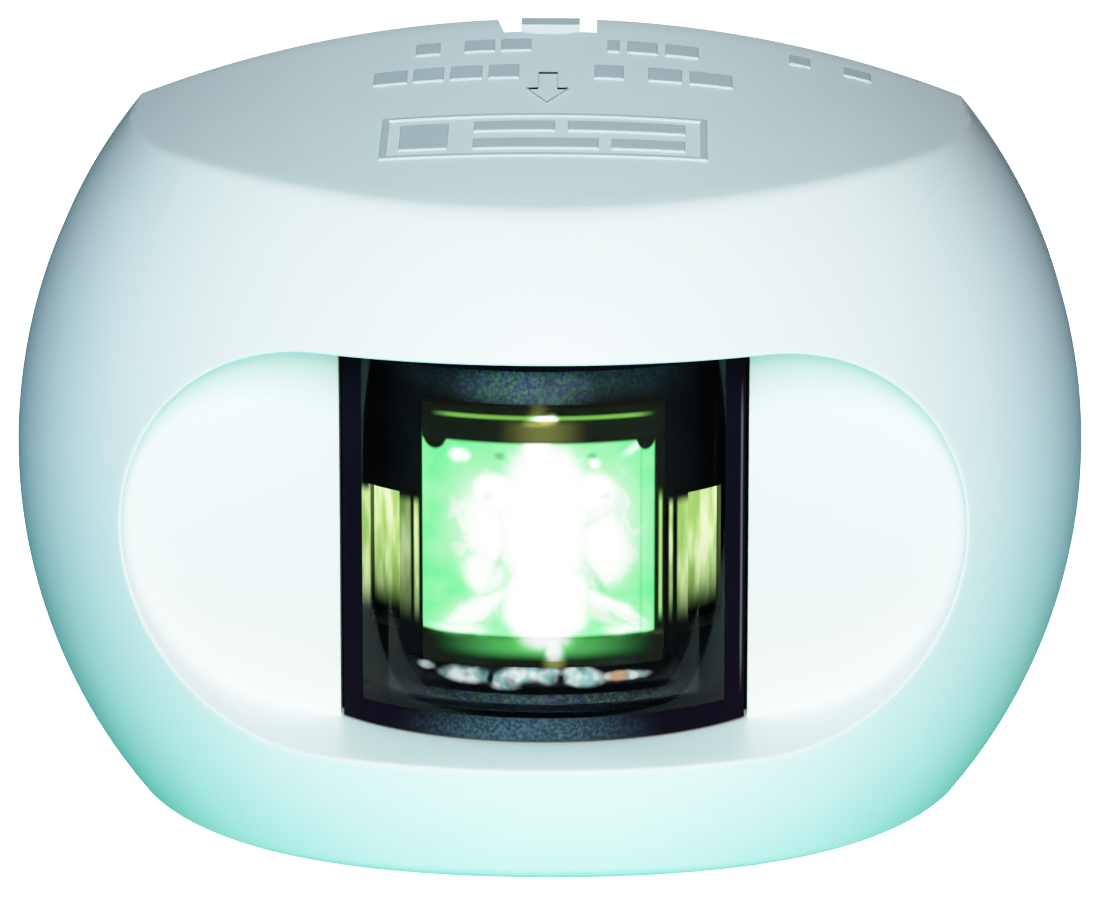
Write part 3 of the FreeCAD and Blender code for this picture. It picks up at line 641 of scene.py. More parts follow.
# glossy white moulding of the reflector cups
REFLECTOR = Moulded("reflector_moulding", "#f5f5f0", "#e9ebe4", 0.2)
# white solder mask of the lamp board: smooth and a little glossy
BOARD_WHITE = Moulded("white_solder_mask", "#e6e9e4", "#dde1db", 0.3)
# green solder mask of the driver board
BOARD_GREEN = Moulded("green_solder_mask", "#12502c", "#0d3f23", 0.32)
# moulded epoxy of the chip and diodes: near black, satin
EPOXY = Moulded("chip_epoxy", "#17171a", "#202024", 0.55)
# sintered ferrite of the inductor: dark grey, with coarse grains
FERRITE = Moulded("ferrite", "#2a2a2d", "#343437", 0.6, 1.2, 0.05)
# fired ceramic of the capacitors: tan
CERAMIC = Moulded("capacitor_ceramic", "#9a7d56", "#876b47", 0.4)
# glazed film of the resistors: bluish black, glossy
FILM = Moulded("resistor_film", "#15161c", "#23242c", 0.35)
# PVC insulation of the two leads: smooth and a little glossy
RED_WIRE = Moulded("red_insulation", "#b3140f", "#9d100c", 0.35)
BLACK_WIRE = Moulded("black_insulation", "#141414", "#1d1d1d", 0.35)
# phosphor silicone of the lamps: yellow and glossy
LAMP = Moulded("lamp_silicone", "#f3e7a2", "#efe08c", 0.25)
# turned stainless steel of the screws
STEEL = Metal("stainless_steel", "#b9babc", "#a4a5a8", 0.32)
# milled aluminium of the heat sink: paler and duller than the steel
ALUMINIUM = Metal("milled_aluminium", "#c3c5c8", "#b2b4b8", 0.36)
# turned brass of the spacers
BRASS = Metal("turned_brass", "#c9a257", "#b38c46", 0.3)
# tin solder: bright and smooth
SOLDER = Metal("solder", "#c6c8ca", "#aeb0b3", 0.25)
# tops of the raised marks, painted grey as the shade of their relief
SHADED_MARK = Moulded("mark_painted_shade", "#d0d5d8", "#c0c7cb", 0.5)
# clear acrylic of the outer lens: edges painted black as shade, a painted grey-blue haze of light on
# its lower lip, and a painted highlight on its right edge
CLEAR = ClearLens("clear_acrylic", "#eef2f4", "#0b0712", "#5f8396", 11.5, 11.2)
# clear acrylic of the sill, painted dark as shade where no light falls, with painted glints of the
# lamps' light
SPARKLE = Sparkle("sill_painted_glints")


# ---------------------------------------------------------------- mesh helpers


def add_object(name: str, mesh: bmesh.types.BMesh) -> bpy.types.Object:
    """Turn a bmesh into an object of the scene, and free the bmesh.

    Args:
        name: the object's name.
        mesh: the geometry.

    Returns:
        The new object.
    """
    data = bpy.data.meshes.new(name)
    mesh.to_mesh(data)
    mesh.free()
    made = bpy.data.objects.new(name, data)
    bpy.context.scene.collection.objects.link(made)
    return made


def new_piece(name: str, mesh: bmesh.types.BMesh, body: Body) -> bpy.types.Object:
    """Turn a bmesh into a piece that rides on a body.

    Args:
        name: the piece's name.
        mesh: the geometry, freed afterwards.
        body: the body that it moves with.

    Returns:
        The new object.
    """
    piece = add_object(name, mesh)
    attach(piece, body.value)
    return piece


def settle(piece: bpy.types.Object) -> None:
    """Apply a piece's modifiers to its mesh."""
    graph = bpy.context.evaluated_depsgraph_get()
    graph.update()
    data = bpy.data.meshes.new_from_object(piece.evaluated_get(graph))
    piece.modifiers.clear()
    piece.data = data


def soften(piece: bpy.types.Object, degrees: float) -> None:
    """Shade a piece smooth, with sharp edges above an angle."""
    piece.data.polygons.foreach_set("use_smooth", [True] * len(piece.data.polygons))
    piece.data.set_sharp_from_angle(angle=math.radians(degrees))


def paint(target: bpy.types.Object, finish: Finish) -> None:
    """Give a piece, or a CAD node, one finish."""
    material = bpy.data.materials.get(finish.name) or finish.make()
    if not target.material_slots:
        target.data.materials.append(material)
    for slot in target.material_slots:
        slot.material = material


def boolean(piece: bpy.types.Object, cutter: bmesh.types.BMesh, operation: str) -> None:
    """Join or cut a piece with a second solid.

    Args:
        piece: the piece that changes.
        cutter: the second solid, freed afterwards.
        operation: DIFFERENCE or UNION.
    """
    tool = add_object("tool", cutter)
    modifier = piece.modifiers.new("boolean", "BOOLEAN")
    modifier.object = tool
    modifier.operation = operation
    modifier.solver = "EXACT"
    settle(piece)
    bpy.data.objects.remove(tool)


def bevel(mesh: bmesh.types.BMesh, edges: Sequence, offset: float, segments: int) -> None:
    """Round or chamfer some edges."""
    looks = {"profile": 0.5, "affect": "EDGES", "material": -1}
    bmesh.ops.bevel(mesh, geom=edges, offset=offset, segments=segments, **looks)


def block(low: Vector, high: Vector) -> bmesh.types.BMesh:
    """Box between two corners."""
    mesh = bmesh.new()
    size = Matrix.Diagonal((*(high - low), 1.0))
    bmesh.ops.create_cube(mesh, size=1, matrix=Matrix.Translation((low + high) / 2) @ size)
    return mesh


# ---------------------------------------------------------------- outlines


def turning(
    low: float, high: float, steps: int, below: Callable[[float], bool]
) -> tuple[float, float]:
    """Close in on the place where a test turns from true to false, by halving.

    Args:
        low: where the test is true.
        high: where it is false.
        steps: how many times the range is halved.
        below: the test.

    Returns:
        The narrowed low and high.
    """
    for _ in range(steps):
        middle = (low + high) / 2
        low, high = (middle, high) if below(middle) else (low, middle)
    return low, high


def resample(
    line: Sequence[Point], count: int, start: float = 0.0, end: float = 0.0
) -> list[Point]:
    """Points spaced evenly along a line.

    Args:
        line: the points of a polyline.
        count: how many points to return.
        start: length left out at the beginning.
        end: length left out at the end.

    Returns:
        The new points.
    """
    runs = [math.dist(a, b) for a, b in zip(line, line[1:])]
    kept = sum(runs) - start - end
    result = []
    index, passed = 0, 0.0
    for i in range(count):
        goal = start + kept * i / (count - 1)
        while index < len(runs) - 1 and passed + runs[index] < goal:
            passed += runs[index]
            index += 1
        share = min(1.0, (goal - passed) / runs[index]) if runs[index] > 0 else 0.0
        a, b = line[index], line[index + 1]
        result.append((a[0] + (b[0] - a[0]) * share, a[1] + (b[1] - a[1]) * share))
    return result


# ---------------------------------------------------------------- housing


@dataclass(frozen=True)
class HousingSize:
    """Sizes of the housing, in metres; the slope is a fall for each metre forwards."""

    half_width: float = 35.5 * MM
    back_half_height: float = 27.8 * MM
    dome_depth: float = 38.5 * MM
    skirt: float = 4.0 * MM
    arch_radius: float = 75.0 * MM
    slope: float = 0.1815
    wall: float = 2.2 * MM
    flat_margin: float = 1.0 * MM
    recess_radius: float = 12.9 * MM
    recess_half_straight: float = 13.9 * MM
    recess_floor: float = 27.3 * MM
    recess_skin: float = 2.0 * MM
    recess_fillet: float = 1.2 * MM
    window_half_width: float = 13.0 * MM
    crease_ease: float = 1.1 * MM
    rim_ease: float = 0.45 * MM
    back_ease: float = 0.35 * MM
    notch_half_width: float = 3.05 * MM
    notch_depth: float = 2.7 * MM
    notch_flare: float = 0.7 * MM
    scoop_half_width: float = 1.95 * MM
    scoop_bow: float = 0.6 * MM
    catch_half_width: float = 2.6 * MM
    catch_start: float = 4.0 * MM
    catch_thickness: float = 1.4 * MM
    catch_drop: float = 1.35 * MM


class Housing:
    """White housing, made as a closed ring of outlines turned about the light's axis."""

    # points on each half of a face, and steps on an eased corner
    FLAT_POINTS = 60
    CURVE_POINTS = 80
    CORNER = 5
    # depths at which the faces are compared
    DEPTHS = 64
    # how far out, and how far to the side, the top face can lie
    FARTHEST = 60 * MM
    WIDEST = 70 * MM
    # sines of the angles below which the top face is out of reach, and meets no crease
    FLAT_SINE = 0.2
    STEEP_SINE = 0.4
    # no eased corner takes more than this share of the runs beside it
    EASE_SHARE = 0.45
    RIB_EASE = 0.2 * MM
    # directions in a quarter turn, and the closer ones round the crease's end
    QUARTER = 54
    FINE_DEGREES = 0.4
    FINE_STEPS = range(-4, 22)
    LEAST_DEGREES = 0.1
    SCOOP_SIDES = 160
    SHARP_DEGREES = 32

    def __init__(self, size: HousingSize) -> None:
        self.size = size
        self.creases = {inset: self.first_crease(inset) for inset in (0.0, size.wall)}

    def dome_radius(self, depth: float, inset: float) -> float:
        """Radius of the round body at a depth."""
        size = self.size
        if depth <= size.skirt:
            return size.half_width - inset
        share = min(1.0, (depth - size.skirt) / (size.dome_depth - inset))
        return (size.half_width - inset) * math.sqrt(1 - share * share)

    def dome_front(self, radius: float, inset: float) -> float:
        """Depth of the round body's face at a radius."""
        size = self.size
        share = min(1.0, radius / (size.half_width - inset))
        return size.skirt + (size.dome_depth - inset) * math.sqrt(1 - share * share)

    def roof(self, x: float, depth: float, inset: float) -> float:
        """Height of the top face at a place."""
        size = self.size
        reach = size.skirt + size.dome_depth + size.flat_margin
        arch = size.arch_radius - math.sqrt(max(0.0, size.arch_radius**2 - x * x))
        back = size.back_half_height - inset - arch
        front = size.back_half_height - inset - size.slope * reach
        return back + (front - back) * depth / reach

    def roof_radius(self, angle: float, depth: float, inset: float) -> float:
        """Distance from the axis to the top or bottom face.

        Args:
            angle: direction about the light's axis, in radians.
            depth: distance in front of the back.
            inset: 0 on the outside, or the wall on the inside.

        Returns:
            The distance.
        """
        across, up = abs(math.cos(angle)), abs(math.sin(angle))
        if up < self.FLAT_SINE:
            return FAR
        far = min(self.FARTHEST, self.WIDEST / max(across, TINY))
        return turning(0.0, far, 32, lambda r: r * up < self.roof(r * across, depth, inset))[0]

    def back_corner(self, inset: float) -> float:
        """Angle at which the top face meets the round body at the back."""
        radius = self.size.half_width - inset
        low, high = turning(
            math.radians(10),
            math.radians(80),
            40,
            lambda angle: self.roof_radius(angle, 0.0, inset) >= radius,
        )
        return (low + high) / 2

    def is_roof(self, angle: float, depth: float, inset: float) -> bool:
        """Whether the top or bottom face lies inside the round body."""
        return self.roof_radius(angle, depth, inset) < self.dome_radius(depth, inset)

    def overlap(self, angle: float, inset: float) -> list[float]:
        """Depths at which the top or bottom face lies inside the round body."""
        reach = self.size.skirt + self.size.dome_depth - inset
        depths = [reach * i / self.DEPTHS for i in range(self.DEPTHS)]
        return [depth for depth in depths if self.is_roof(angle, depth, inset)]

    def first_crease(self, inset: float) -> tuple[float, float]:
        """Lowest angle that the crease reaches, and the crease's depth there."""
        start, end = math.radians(20), self.back_corner(inset)
        first = turning(start, end, 12, lambda angle: not self.overlap(angle, inset))[1]
        return first, self.overlap(first, inset)[-1]

    def crease(self, angle: float, inset: float) -> float:
        """Depth at which the top or bottom face gives way to the round body.

        Args:
            angle: direction about the light's axis, in radians.
            inset: 0 on the outside, or the wall on the inside.

        Returns:
            The depth, or that of the crease's end where there is no crease.
        """
        inside = self.overlap(angle, inset) if abs(math.sin(angle)) > self.STEEP_SINE else []
        if not inside:
            return self.creases[inset][1]
        low = inside[-1]
        high = low + (self.size.skirt + self.size.dome_depth - inset) / self.DEPTHS
        return turning(low, high, 24, lambda depth: self.is_roof(angle, depth, inset))[0]

    def capsule(self, angle: float, radius: float) -> float:
        """Distance from the axis to the edge of a stadium."""
        across, up = abs(math.cos(angle)), abs(math.sin(angle))
        straight = self.size.recess_half_straight
        if up * straight >= across * radius:
            return radius / up
        return straight * across + math.sqrt(radius**2 - (straight * up) ** 2)

    def window(self, angle: float) -> float:
        """Distance from the axis to the edge of the lens window."""
        across, up = abs(math.cos(angle)), abs(math.sin(angle))
        size = self.size
        wide = size.window_half_width / across if across > TINY else FAR
        tall = size.recess_radius / up if up > TINY else FAR
        return min(wide, tall)

    def face(self, angle: float, inset: float, inner: Point) -> tuple[list[Point], list[Point]]:
        """Top or bottom face and round face along an angle.

        Args:
            angle: direction about the light's axis, in radians.
            inset: 0 on the outside, or the wall on the inside.
            inner: where the round face ends.

        Returns:
            The points of the two faces, from the back to inner.
        """
        size = self.size
        meet = self.crease(angle, inset)
        flat = []
        for i in range(self.FLAT_POINTS + 1):
            depth = meet * i / self.FLAT_POINTS
            radius = min(self.roof_radius(angle, depth, inset), self.dome_radius(depth, inset))
            flat.append((radius, depth))
        wide, deep = size.half_width - inset, size.dome_depth - inset
        start, end = (
            math.asin(min(1.0, max(0.0, (d - size.skirt) / deep))) for d in (meet, inner[1])
        )
        swings = [
            start + (end - start) * i / self.CURVE_POINTS for i in range(self.CURVE_POINTS + 1)
        ]
        return flat, [(wide * math.cos(s), size.skirt + deep * math.sin(s)) for s in swings]

    def outline(self, angle: float) -> list[Point]:
        """Closed outline along an angle, always with the same number of points.

        Args:
            angle: direction about the light's axis, in radians.

        Returns:
            (distance from the axis, depth) of each point.
        """
        size = self.size
        rim = self.capsule(angle, size.recess_radius)
        gap = self.window(angle)
        tray_back = size.recess_floor - size.recess_skin
        share = (tray_back - size.skirt) / (size.dome_depth - size.wall)
        inner_edge = (size.half_width - size.wall) * math.sqrt(1 - share * share)
        tray = min(self.capsule(angle, size.recess_radius + size.recess_skin), inner_edge)
        top = (rim, self.dome_front(rim, 0.0))
        under = (tray, max(tray_back, self.dome_front(tray, size.wall)))
        flat, curve = self.face(angle, 0.0, top)
        inner_flat, inner_curve = self.face(angle, size.wall, under)
        ease = min(size.recess_fillet, max(0.0, rim - gap) * 0.9)
        runs = [
            (flat, 18, size.crease_ease),
            (curve, 40, size.rim_ease),
            ([top, (rim, size.recess_floor)], 8, ease),
            ([(rim, size.recess_floor), (gap, size.recess_floor)], 8, 0.1 * MM),
            ([(gap, size.recess_floor), (gap, tray_back)], 2, 0.0),
            ([(gap, tray_back), (tray, tray_back)], 4, 0.0),
            ([(tray, tray_back), under], 4, 0.0),
            (list(reversed(inner_curve)), 24, 0.0),
            (list(reversed(inner_flat)), 10, 0.0),
            ([inner_flat[0], flat[0]], 3, size.back_ease),
        ]
        return self.eased(runs)

    def eased(self, runs: Sequence[tuple[list[Point], int, float]]) -> list[Point]:
        """Join runs into one closed outline, with each corner rounded.

        Args:
            runs: (points, how many to keep, easing of the corner at its end).

        Returns:
            The points of the closed outline.
        """
        lengths = [sum(math.dist(a, b) for a, b in zip(r[0], r[0][1:])) for r in runs]
        cuts = []
        for i, (_, _, ease) in enumerate(runs):
            after = (i + 1) % len(runs)
            cuts.append(min(ease, *(self.EASE_SHARE * lengths[k] for k in (i, after))))
        points: list[Point] = []
        kept = [
            resample(line, count, cuts[i - 1], cuts[i]) for i, (line, count, _) in enumerate(runs)
        ]
        for i, (line, _, _) in enumerate(runs):
            points += kept[i]
            start, end = kept[i][-1], kept[(i + 1) % len(runs)][0]
            for k in range(1, self.CORNER):
                t = k / self.CORNER
                near, mid, far = (1 - t) ** 2, 2 * t * (1 - t), t * t
                corner = line[-1]
                points.append(
                    (
                        near * start[0] + mid * corner[0] + far * end[0],
                        near * start[1] + mid * corner[1] + far * end[1],
                    )
                )
        return points

    def angles(self) -> list[float]:
        """Directions about the axis, close together, with every corner among them.

        Returns:
            The angles of one full turn, in radians.
        """
        size = self.size
        first = self.creases[0.0][0]
        corners = [
            self.back_corner(0.0),
            self.back_corner(size.wall),
            math.atan2(size.recess_radius, size.window_half_width),
            math.atan2(size.recess_radius, size.recess_half_straight),
            math.atan2(size.recess_radius + size.recess_skin, size.recess_half_straight),
        ]
        plain = {math.radians(90) * i / self.QUARTER for i in range(self.QUARTER + 1)}
        close = {first + math.radians(self.FINE_DEGREES) * i for i in self.FINE_STEPS}
        quarter = sorted(plain | close | set(corners))
        kept = [quarter[0]]
        for angle in quarter[1:]:
            if angle - kept[-1] > math.radians(self.LEAST_DEGREES):
                kept.append(angle)
            elif angle in corners:
                kept[-1] = angle
        full = kept[:]
        full += [math.pi - a for a in reversed(kept[:-1])]
        full += [math.pi + a for a in kept[1:]]
        full += [2 * math.pi - a for a in reversed(kept[1:-1])]
        return full

    def build(self) -> None:
        """Make the housing's mesh and stand it in for the CAD housing."""
        angles = self.angles()
        outlines = [self.outline(a) for a in angles]
        columns, rows = len(angles), len(outlines[0])
        mesh = bmesh.new()
        bmesh.ops.create_grid(mesh, x_segments=columns, y_segments=rows, size=0.5)
        for vertex in mesh.verts:
            column = round((vertex.co.x + 0.5) * columns) % columns
            row = round((vertex.co.y + 0.5) * rows) % rows
            radius, depth = outlines[column][row]
            turn = angles[column]
            vertex.co = (radius * math.cos(turn), -depth, radius * math.sin(turn))
        bmesh.ops.remove_doubles(mesh, verts=mesh.verts, dist=WELD)
        bmesh.ops.dissolve_degenerate(mesh, edges=mesh.edges, dist=WELD)
        bmesh.ops.recalc_face_normals(mesh, faces=mesh.faces)
        piece = new_piece("housing_shell", mesh, Body.COVER)
        self.cut_notch(piece)
        self.add_catch(piece)
        soften(piece, self.SHARP_DEGREES)
        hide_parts("housing")
        paint(piece, WHITE)
        log.info("housing: %d faces", len(piece.data.polygons))

    def cut_notch(self, piece: bpy.types.Object) -> None:
        """Cut the latch notch, flared on its left, through the top wall.

        Args:
            piece: the housing.
        """
        size = self.size
        margin = 1.0 * MM
        low = Vector((-size.notch_half_width, -size.notch_depth, self.roof(0, 0, 2 * size.wall)))
        high = Vector((size.notch_half_width, margin, size.back_half_height + margin))
        cutter = block(low, high)
        for vertex in cutter.verts:
            if vertex.co.x < 0 and vertex.co.y > 0:
                vertex.co.x -= size.notch_flare
        boolean(piece, cutter, "DIFFERENCE")
        radius = (size.scoop_half_width**2 / size.scoop_bow + size.scoop_bow) / 2
        middle = Vector((0, radius - size.notch_depth - size.scoop_bow, (low.z + high.z) / 2))
        scoop = bmesh.new()
        bmesh.ops.create_cone(
            scoop,
            cap_ends=True,
            segments=self.SCOOP_SIDES,
            radius1=radius,
            radius2=radius,
            depth=high.z - low.z,
            matrix=Matrix.Translation(middle),
        )
        cut = bmesh.ops.bisect_plane(
            scoop,
            geom=[*scoop.verts, *scoop.edges, *scoop.faces],
            plane_co=(0, 0.1 * MM - size.notch_depth, 0),
            plane_no=(0, 1, 0),
            clear_outer=True,
        )["geom_cut"]
        edges = [g for g in cut if isinstance(g, bmesh.types.BMEdge)]
        bmesh.ops.contextual_create(scoop, geom=edges)
        boolean(piece, scoop, "DIFFERENCE")

    def add_catch(self, piece: bpy.types.Object) -> None:
        """Add the rib under the top wall that the latch holds.

        Args:
            piece: the housing.
        """
        size = self.size
        end = size.catch_start + size.catch_thickness
        under = self.roof(0, size.catch_start, size.wall) - size.catch_drop
        root = self.roof(0, end, size.wall / 2)
        low = Vector((-size.catch_half_width, -end, under))
        high = Vector((size.catch_half_width, -size.catch_start, root))
        rib = block(low, high)
        bevel(rib, rib.edges, self.RIB_EASE, 2)
        boolean(piece, rib, "UNION")


# ---------------------------------------------------------------- raised marks


@dataclass(frozen=True)
class Pad:
    """A plain raised pad on the top face, in millimetres, or a frame if it has a rim."""

    left: float
    right: float
    back: float
    front: float
    rim: float = 0.0


class TopMarks:
    """Plain raised pads, a framed blank panel and a direction arrow on the top face."""

    HEIGHT = 0.12 * MM
    # share of the height that the eased top edge takes
    EASE_SHARE = 0.6
    SHARP_DEGREES = 20
    # backs and fronts of the rows, and the left and right of each pad
    ROWS = tuple(
        Pad(left, right, back, front)
        for back, front, spans in (
            (4.3, 6.4, ((-8.8, -7.2), (-5.6, -3.6), (-3.2, -1.2))),
            (4.3, 6.4, ((3.8, 4.6), (5.1, 7.1), (7.6, 9.8))),
            (9.0, 11.4, ((-11.4, -9.2), (-8.8, -6.8), (-6.4, -4.3), (-3.9, -1.9))),
            (9.0, 11.4, ((3.0, 4.9), (6.5, 8.7), (9.2, 12.0))),
            (2.8, 4.6, ((15.8, 17.2), (19.4, 21.2))),
        )
        for left, right in spans
    )
    PANEL = (
        Pad(-10.5, 10.3, 17.9, 25.2, 0.45),
        Pad(-9.3, -6.2, 19.4, 23.8),
        Pad(-4.6, 0.6, 19.2, 20.9),
        Pad(1.4, 8.9, 19.2, 20.9),
        Pad(-4.6, 3.4, 22.2, 23.9),
        Pad(4.2, 8.9, 22.2, 23.9),
    )

    def __init__(self, housing: Housing) -> None:
        self.housing = housing

    def lay(self, mesh: bmesh.types.BMesh) -> None:
        """Drop a flat mesh, drawn in x and depth, onto the top face."""
        for vertex in mesh.verts:
            x, depth, lift = vertex.co
            vertex.co = (x, -depth, self.housing.roof(x, depth, 0.0) + lift)

    def pad(self, mesh: bmesh.types.BMesh, pad: Pad) -> None:
        """Add one pad, or a frame if the pad has a rim.

        Args:
            mesh: the flat mesh of x and depth that it is added to.
            pad: the pad.
        """
        wide, deep = pad.right - pad.left, pad.front - pad.back
        cell = pad.rim or 1.0
        shape = Matrix.Diagonal((wide * MM, deep * MM, 1, 1))
        place = Vector((pad.left + wide / 2, pad.back + deep / 2, 0)) * MM
        made = bmesh.ops.create_grid(
            mesh,
            x_segments=max(1, round(wide / cell)),
            y_segments=max(1, round(deep / cell)),
            size=0.5,
            matrix=Matrix.Translation(place) @ shape,
        )["verts"]
        if pad.rim:
            faces = {face for vertex in made for face in vertex.link_faces}
            away = {face: (face.calc_center_median() - place) / MM for face in faces}
            inner = [
                face
                for face in faces
                if abs(away[face].x) < wide / 2 - pad.rim and abs(away[face].y) < deep / 2 - pad.rim
            ]
            bmesh.ops.delete(mesh, geom=inner, context="FACES")

    def raise_up(self, mesh: bmesh.types.BMesh, height: float) -> None:
        """Give a flat mesh its thickness, with an eased top edge.

        Args:
            mesh: the flat mesh.
            height: how far it stands up; it reaches as far down.
        """
        rim = [e for e in mesh.edges if e.is_boundary]
        sides = bmesh.ops.extrude_edge_only(mesh, edges=rim)["geom"]
        walls = [g for g in sides if isinstance(g, bmesh.types.BMVert)]
        bmesh.ops.translate(mesh, vec=(0, 0, -2 * height), verts=walls)
        bmesh.ops.translate(mesh, vec=(0, 0, height), verts=mesh.verts)
        bevel(mesh, rim, height * self.EASE_SHARE, 1)

    def arrow(self) -> bmesh.types.BMesh:
        """Outlined arrow that points to the front.

        Returns:
            The flat mesh, in x and depth.
        """
        mesh = bmesh.new()
        shaft, head = 0.62 * MM, 1.35 * MM
        start, neck, tip = 10.6 * MM, 13.4 * MM, 15.9 * MM
        ring = [
            mesh.verts.new((x, depth, 0))
            for x, depth in (
                (-shaft, start),
                (shaft, start),
                (shaft, neck),
                (head, neck),
                (0, tip),
                (-head, neck),
                (-shaft, neck),
            )
        ]
        face = mesh.faces.new(ring)
        bmesh.ops.inset_individual(mesh, faces=[face], thickness=0.32 * MM, use_even_offset=True)
        bmesh.ops.delete(mesh, geom=[face], context="FACES_ONLY")
        return mesh

    def build(self) -> None:
        """Make every mark and stand it on the housing."""
        rows, panel = bmesh.new(), bmesh.new()
        for pad in self.ROWS:
            self.pad(rows, pad)
        for pad in self.PANEL:
            self.pad(panel, pad)
        shapes = {"plain_bars": rows, "plain_panel": panel, "direction_arrow": self.arrow()}
        for name, mesh in shapes.items():
            self.raise_up(mesh, self.HEIGHT)
            self.lay(mesh)
            bmesh.ops.recalc_face_normals(mesh, faces=mesh.faces)
            piece = new_piece(name, mesh, Body.COVER)
            soften(piece, self.SHARP_DEGREES)
            # painted shade: the marks are drawn grey to stand out from the white top
            paint(piece, SHADED_MARK)
        log.info("marks: %d", len(shapes))


# ---------------------------------------------------------------- lamp module


@dataclass(frozen=True)
class LampSize:
    """Sizes of the lamp's window, in millimetres."""

    slot_centre: float = -2.4
    mask_axis: float = 17.19
    mask_radius: float = 13.6
    sill_half_width: float = 8.2
    sill_top: float = -8.5
    sill_foot: float = -10.1
    sill_height: float = 0.3


class LampModule:
    """Lens, mask and lit green lens of the lamp."""

    SHARP_DEGREES = 50

    def __init__(self, size: LampSize) -> None:
        self.size = size

    def sill(self) -> None:
        """Clear bowed sill under the window, which carries painted glints and painted shade."""
        size = self.size
        mesh = bmesh.new()
        bmesh.ops.create_grid(mesh, x_segments=32, y_segments=4, size=0.5)
        swing = math.asin(size.sill_half_width / size.mask_radius)
        middle = (size.sill_top + size.sill_foot) / 2
        for vertex in mesh.verts:
            turn = 2 * swing * vertex.co.x
            along, up = vertex.co.x, middle + (size.sill_top - size.sill_foot) * vertex.co.y
            lift = size.sill_height * (1 - (2 * abs(vertex.co.y)) ** 3) * (1 - abs(2 * along) ** 9)
            reach = size.mask_radius + lift
            vertex.co = (
                reach * math.sin(turn) * MM,
                -(size.mask_axis + reach * math.cos(turn)) * MM,
                up * MM,
            )
        bmesh.ops.recalc_face_normals(mesh, faces=mesh.faces)
        bmesh.ops.solidify(mesh, geom=mesh.faces, thickness=size.sill_height * MM)
        piece = new_piece("window_sill", mesh, Body.BASE)
        soften(piece, self.SHARP_DEGREES)
        paint(piece, SPARKLE)

    def build(self) -> None:
        """Give the lamp's CAD nodes their finishes, and add the sill."""
        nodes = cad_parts
        centre = self.size.slot_centre
        paint(nodes["colour_lens"], GreenLens("lit_green_acrylic", centre))
        paint(nodes["outer_lens"], CLEAR)
        paint(nodes["light_box"], DarkMask("mask", "#030304", "#a9b0e0", "#a8d8c4", centre))
        self.sill()


class HiddenParts:
    """Base, case, electronics and fasteners, which keep their CAD shapes."""

    FINISHES = {
        "base_plate": GREY,
        "base_gasket": FOAM,
        "release_latch": LATCH,
        "module_case": BLACK,
        "lens_seal": RUBBER,
        "reflector": REFLECTOR,
        "led_emitters": LAMP,
        "led_board": BOARD_WHITE,
        "heat_sink": ALUMINIUM,
        "driver_board": BOARD_GREEN,
        "board_spacers": BRASS,
        "module_screws": STEEL,
        "base_screws": STEEL,
        "cable_grommet": RUBBER,
        "red_lead": RED_WIRE,
        "black_lead": BLACK_WIRE,
        "solder_joints": SOLDER,
        "inductor": FERRITE,
        "controller_chip": EPOXY,
        "capacitors": CERAMIC,
        "diodes": EPOXY,
        "resistors": FILM,
    }

    def build(self) -> None:
        """Give each CAD node its finish."""
        for node, finish in self.FINISHES.items():
            paint(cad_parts[node], finish)


# ---------------------------------------------------------------- studio


@dataclass(frozen=True)
class Softbox:
    """Square area light aimed at the light's middle: degrees, metres, watts per colour."""

    name: str
    azimuth: float
    elevation: float
    distance: float
    size: float
    watts: tuple[float, float, float]


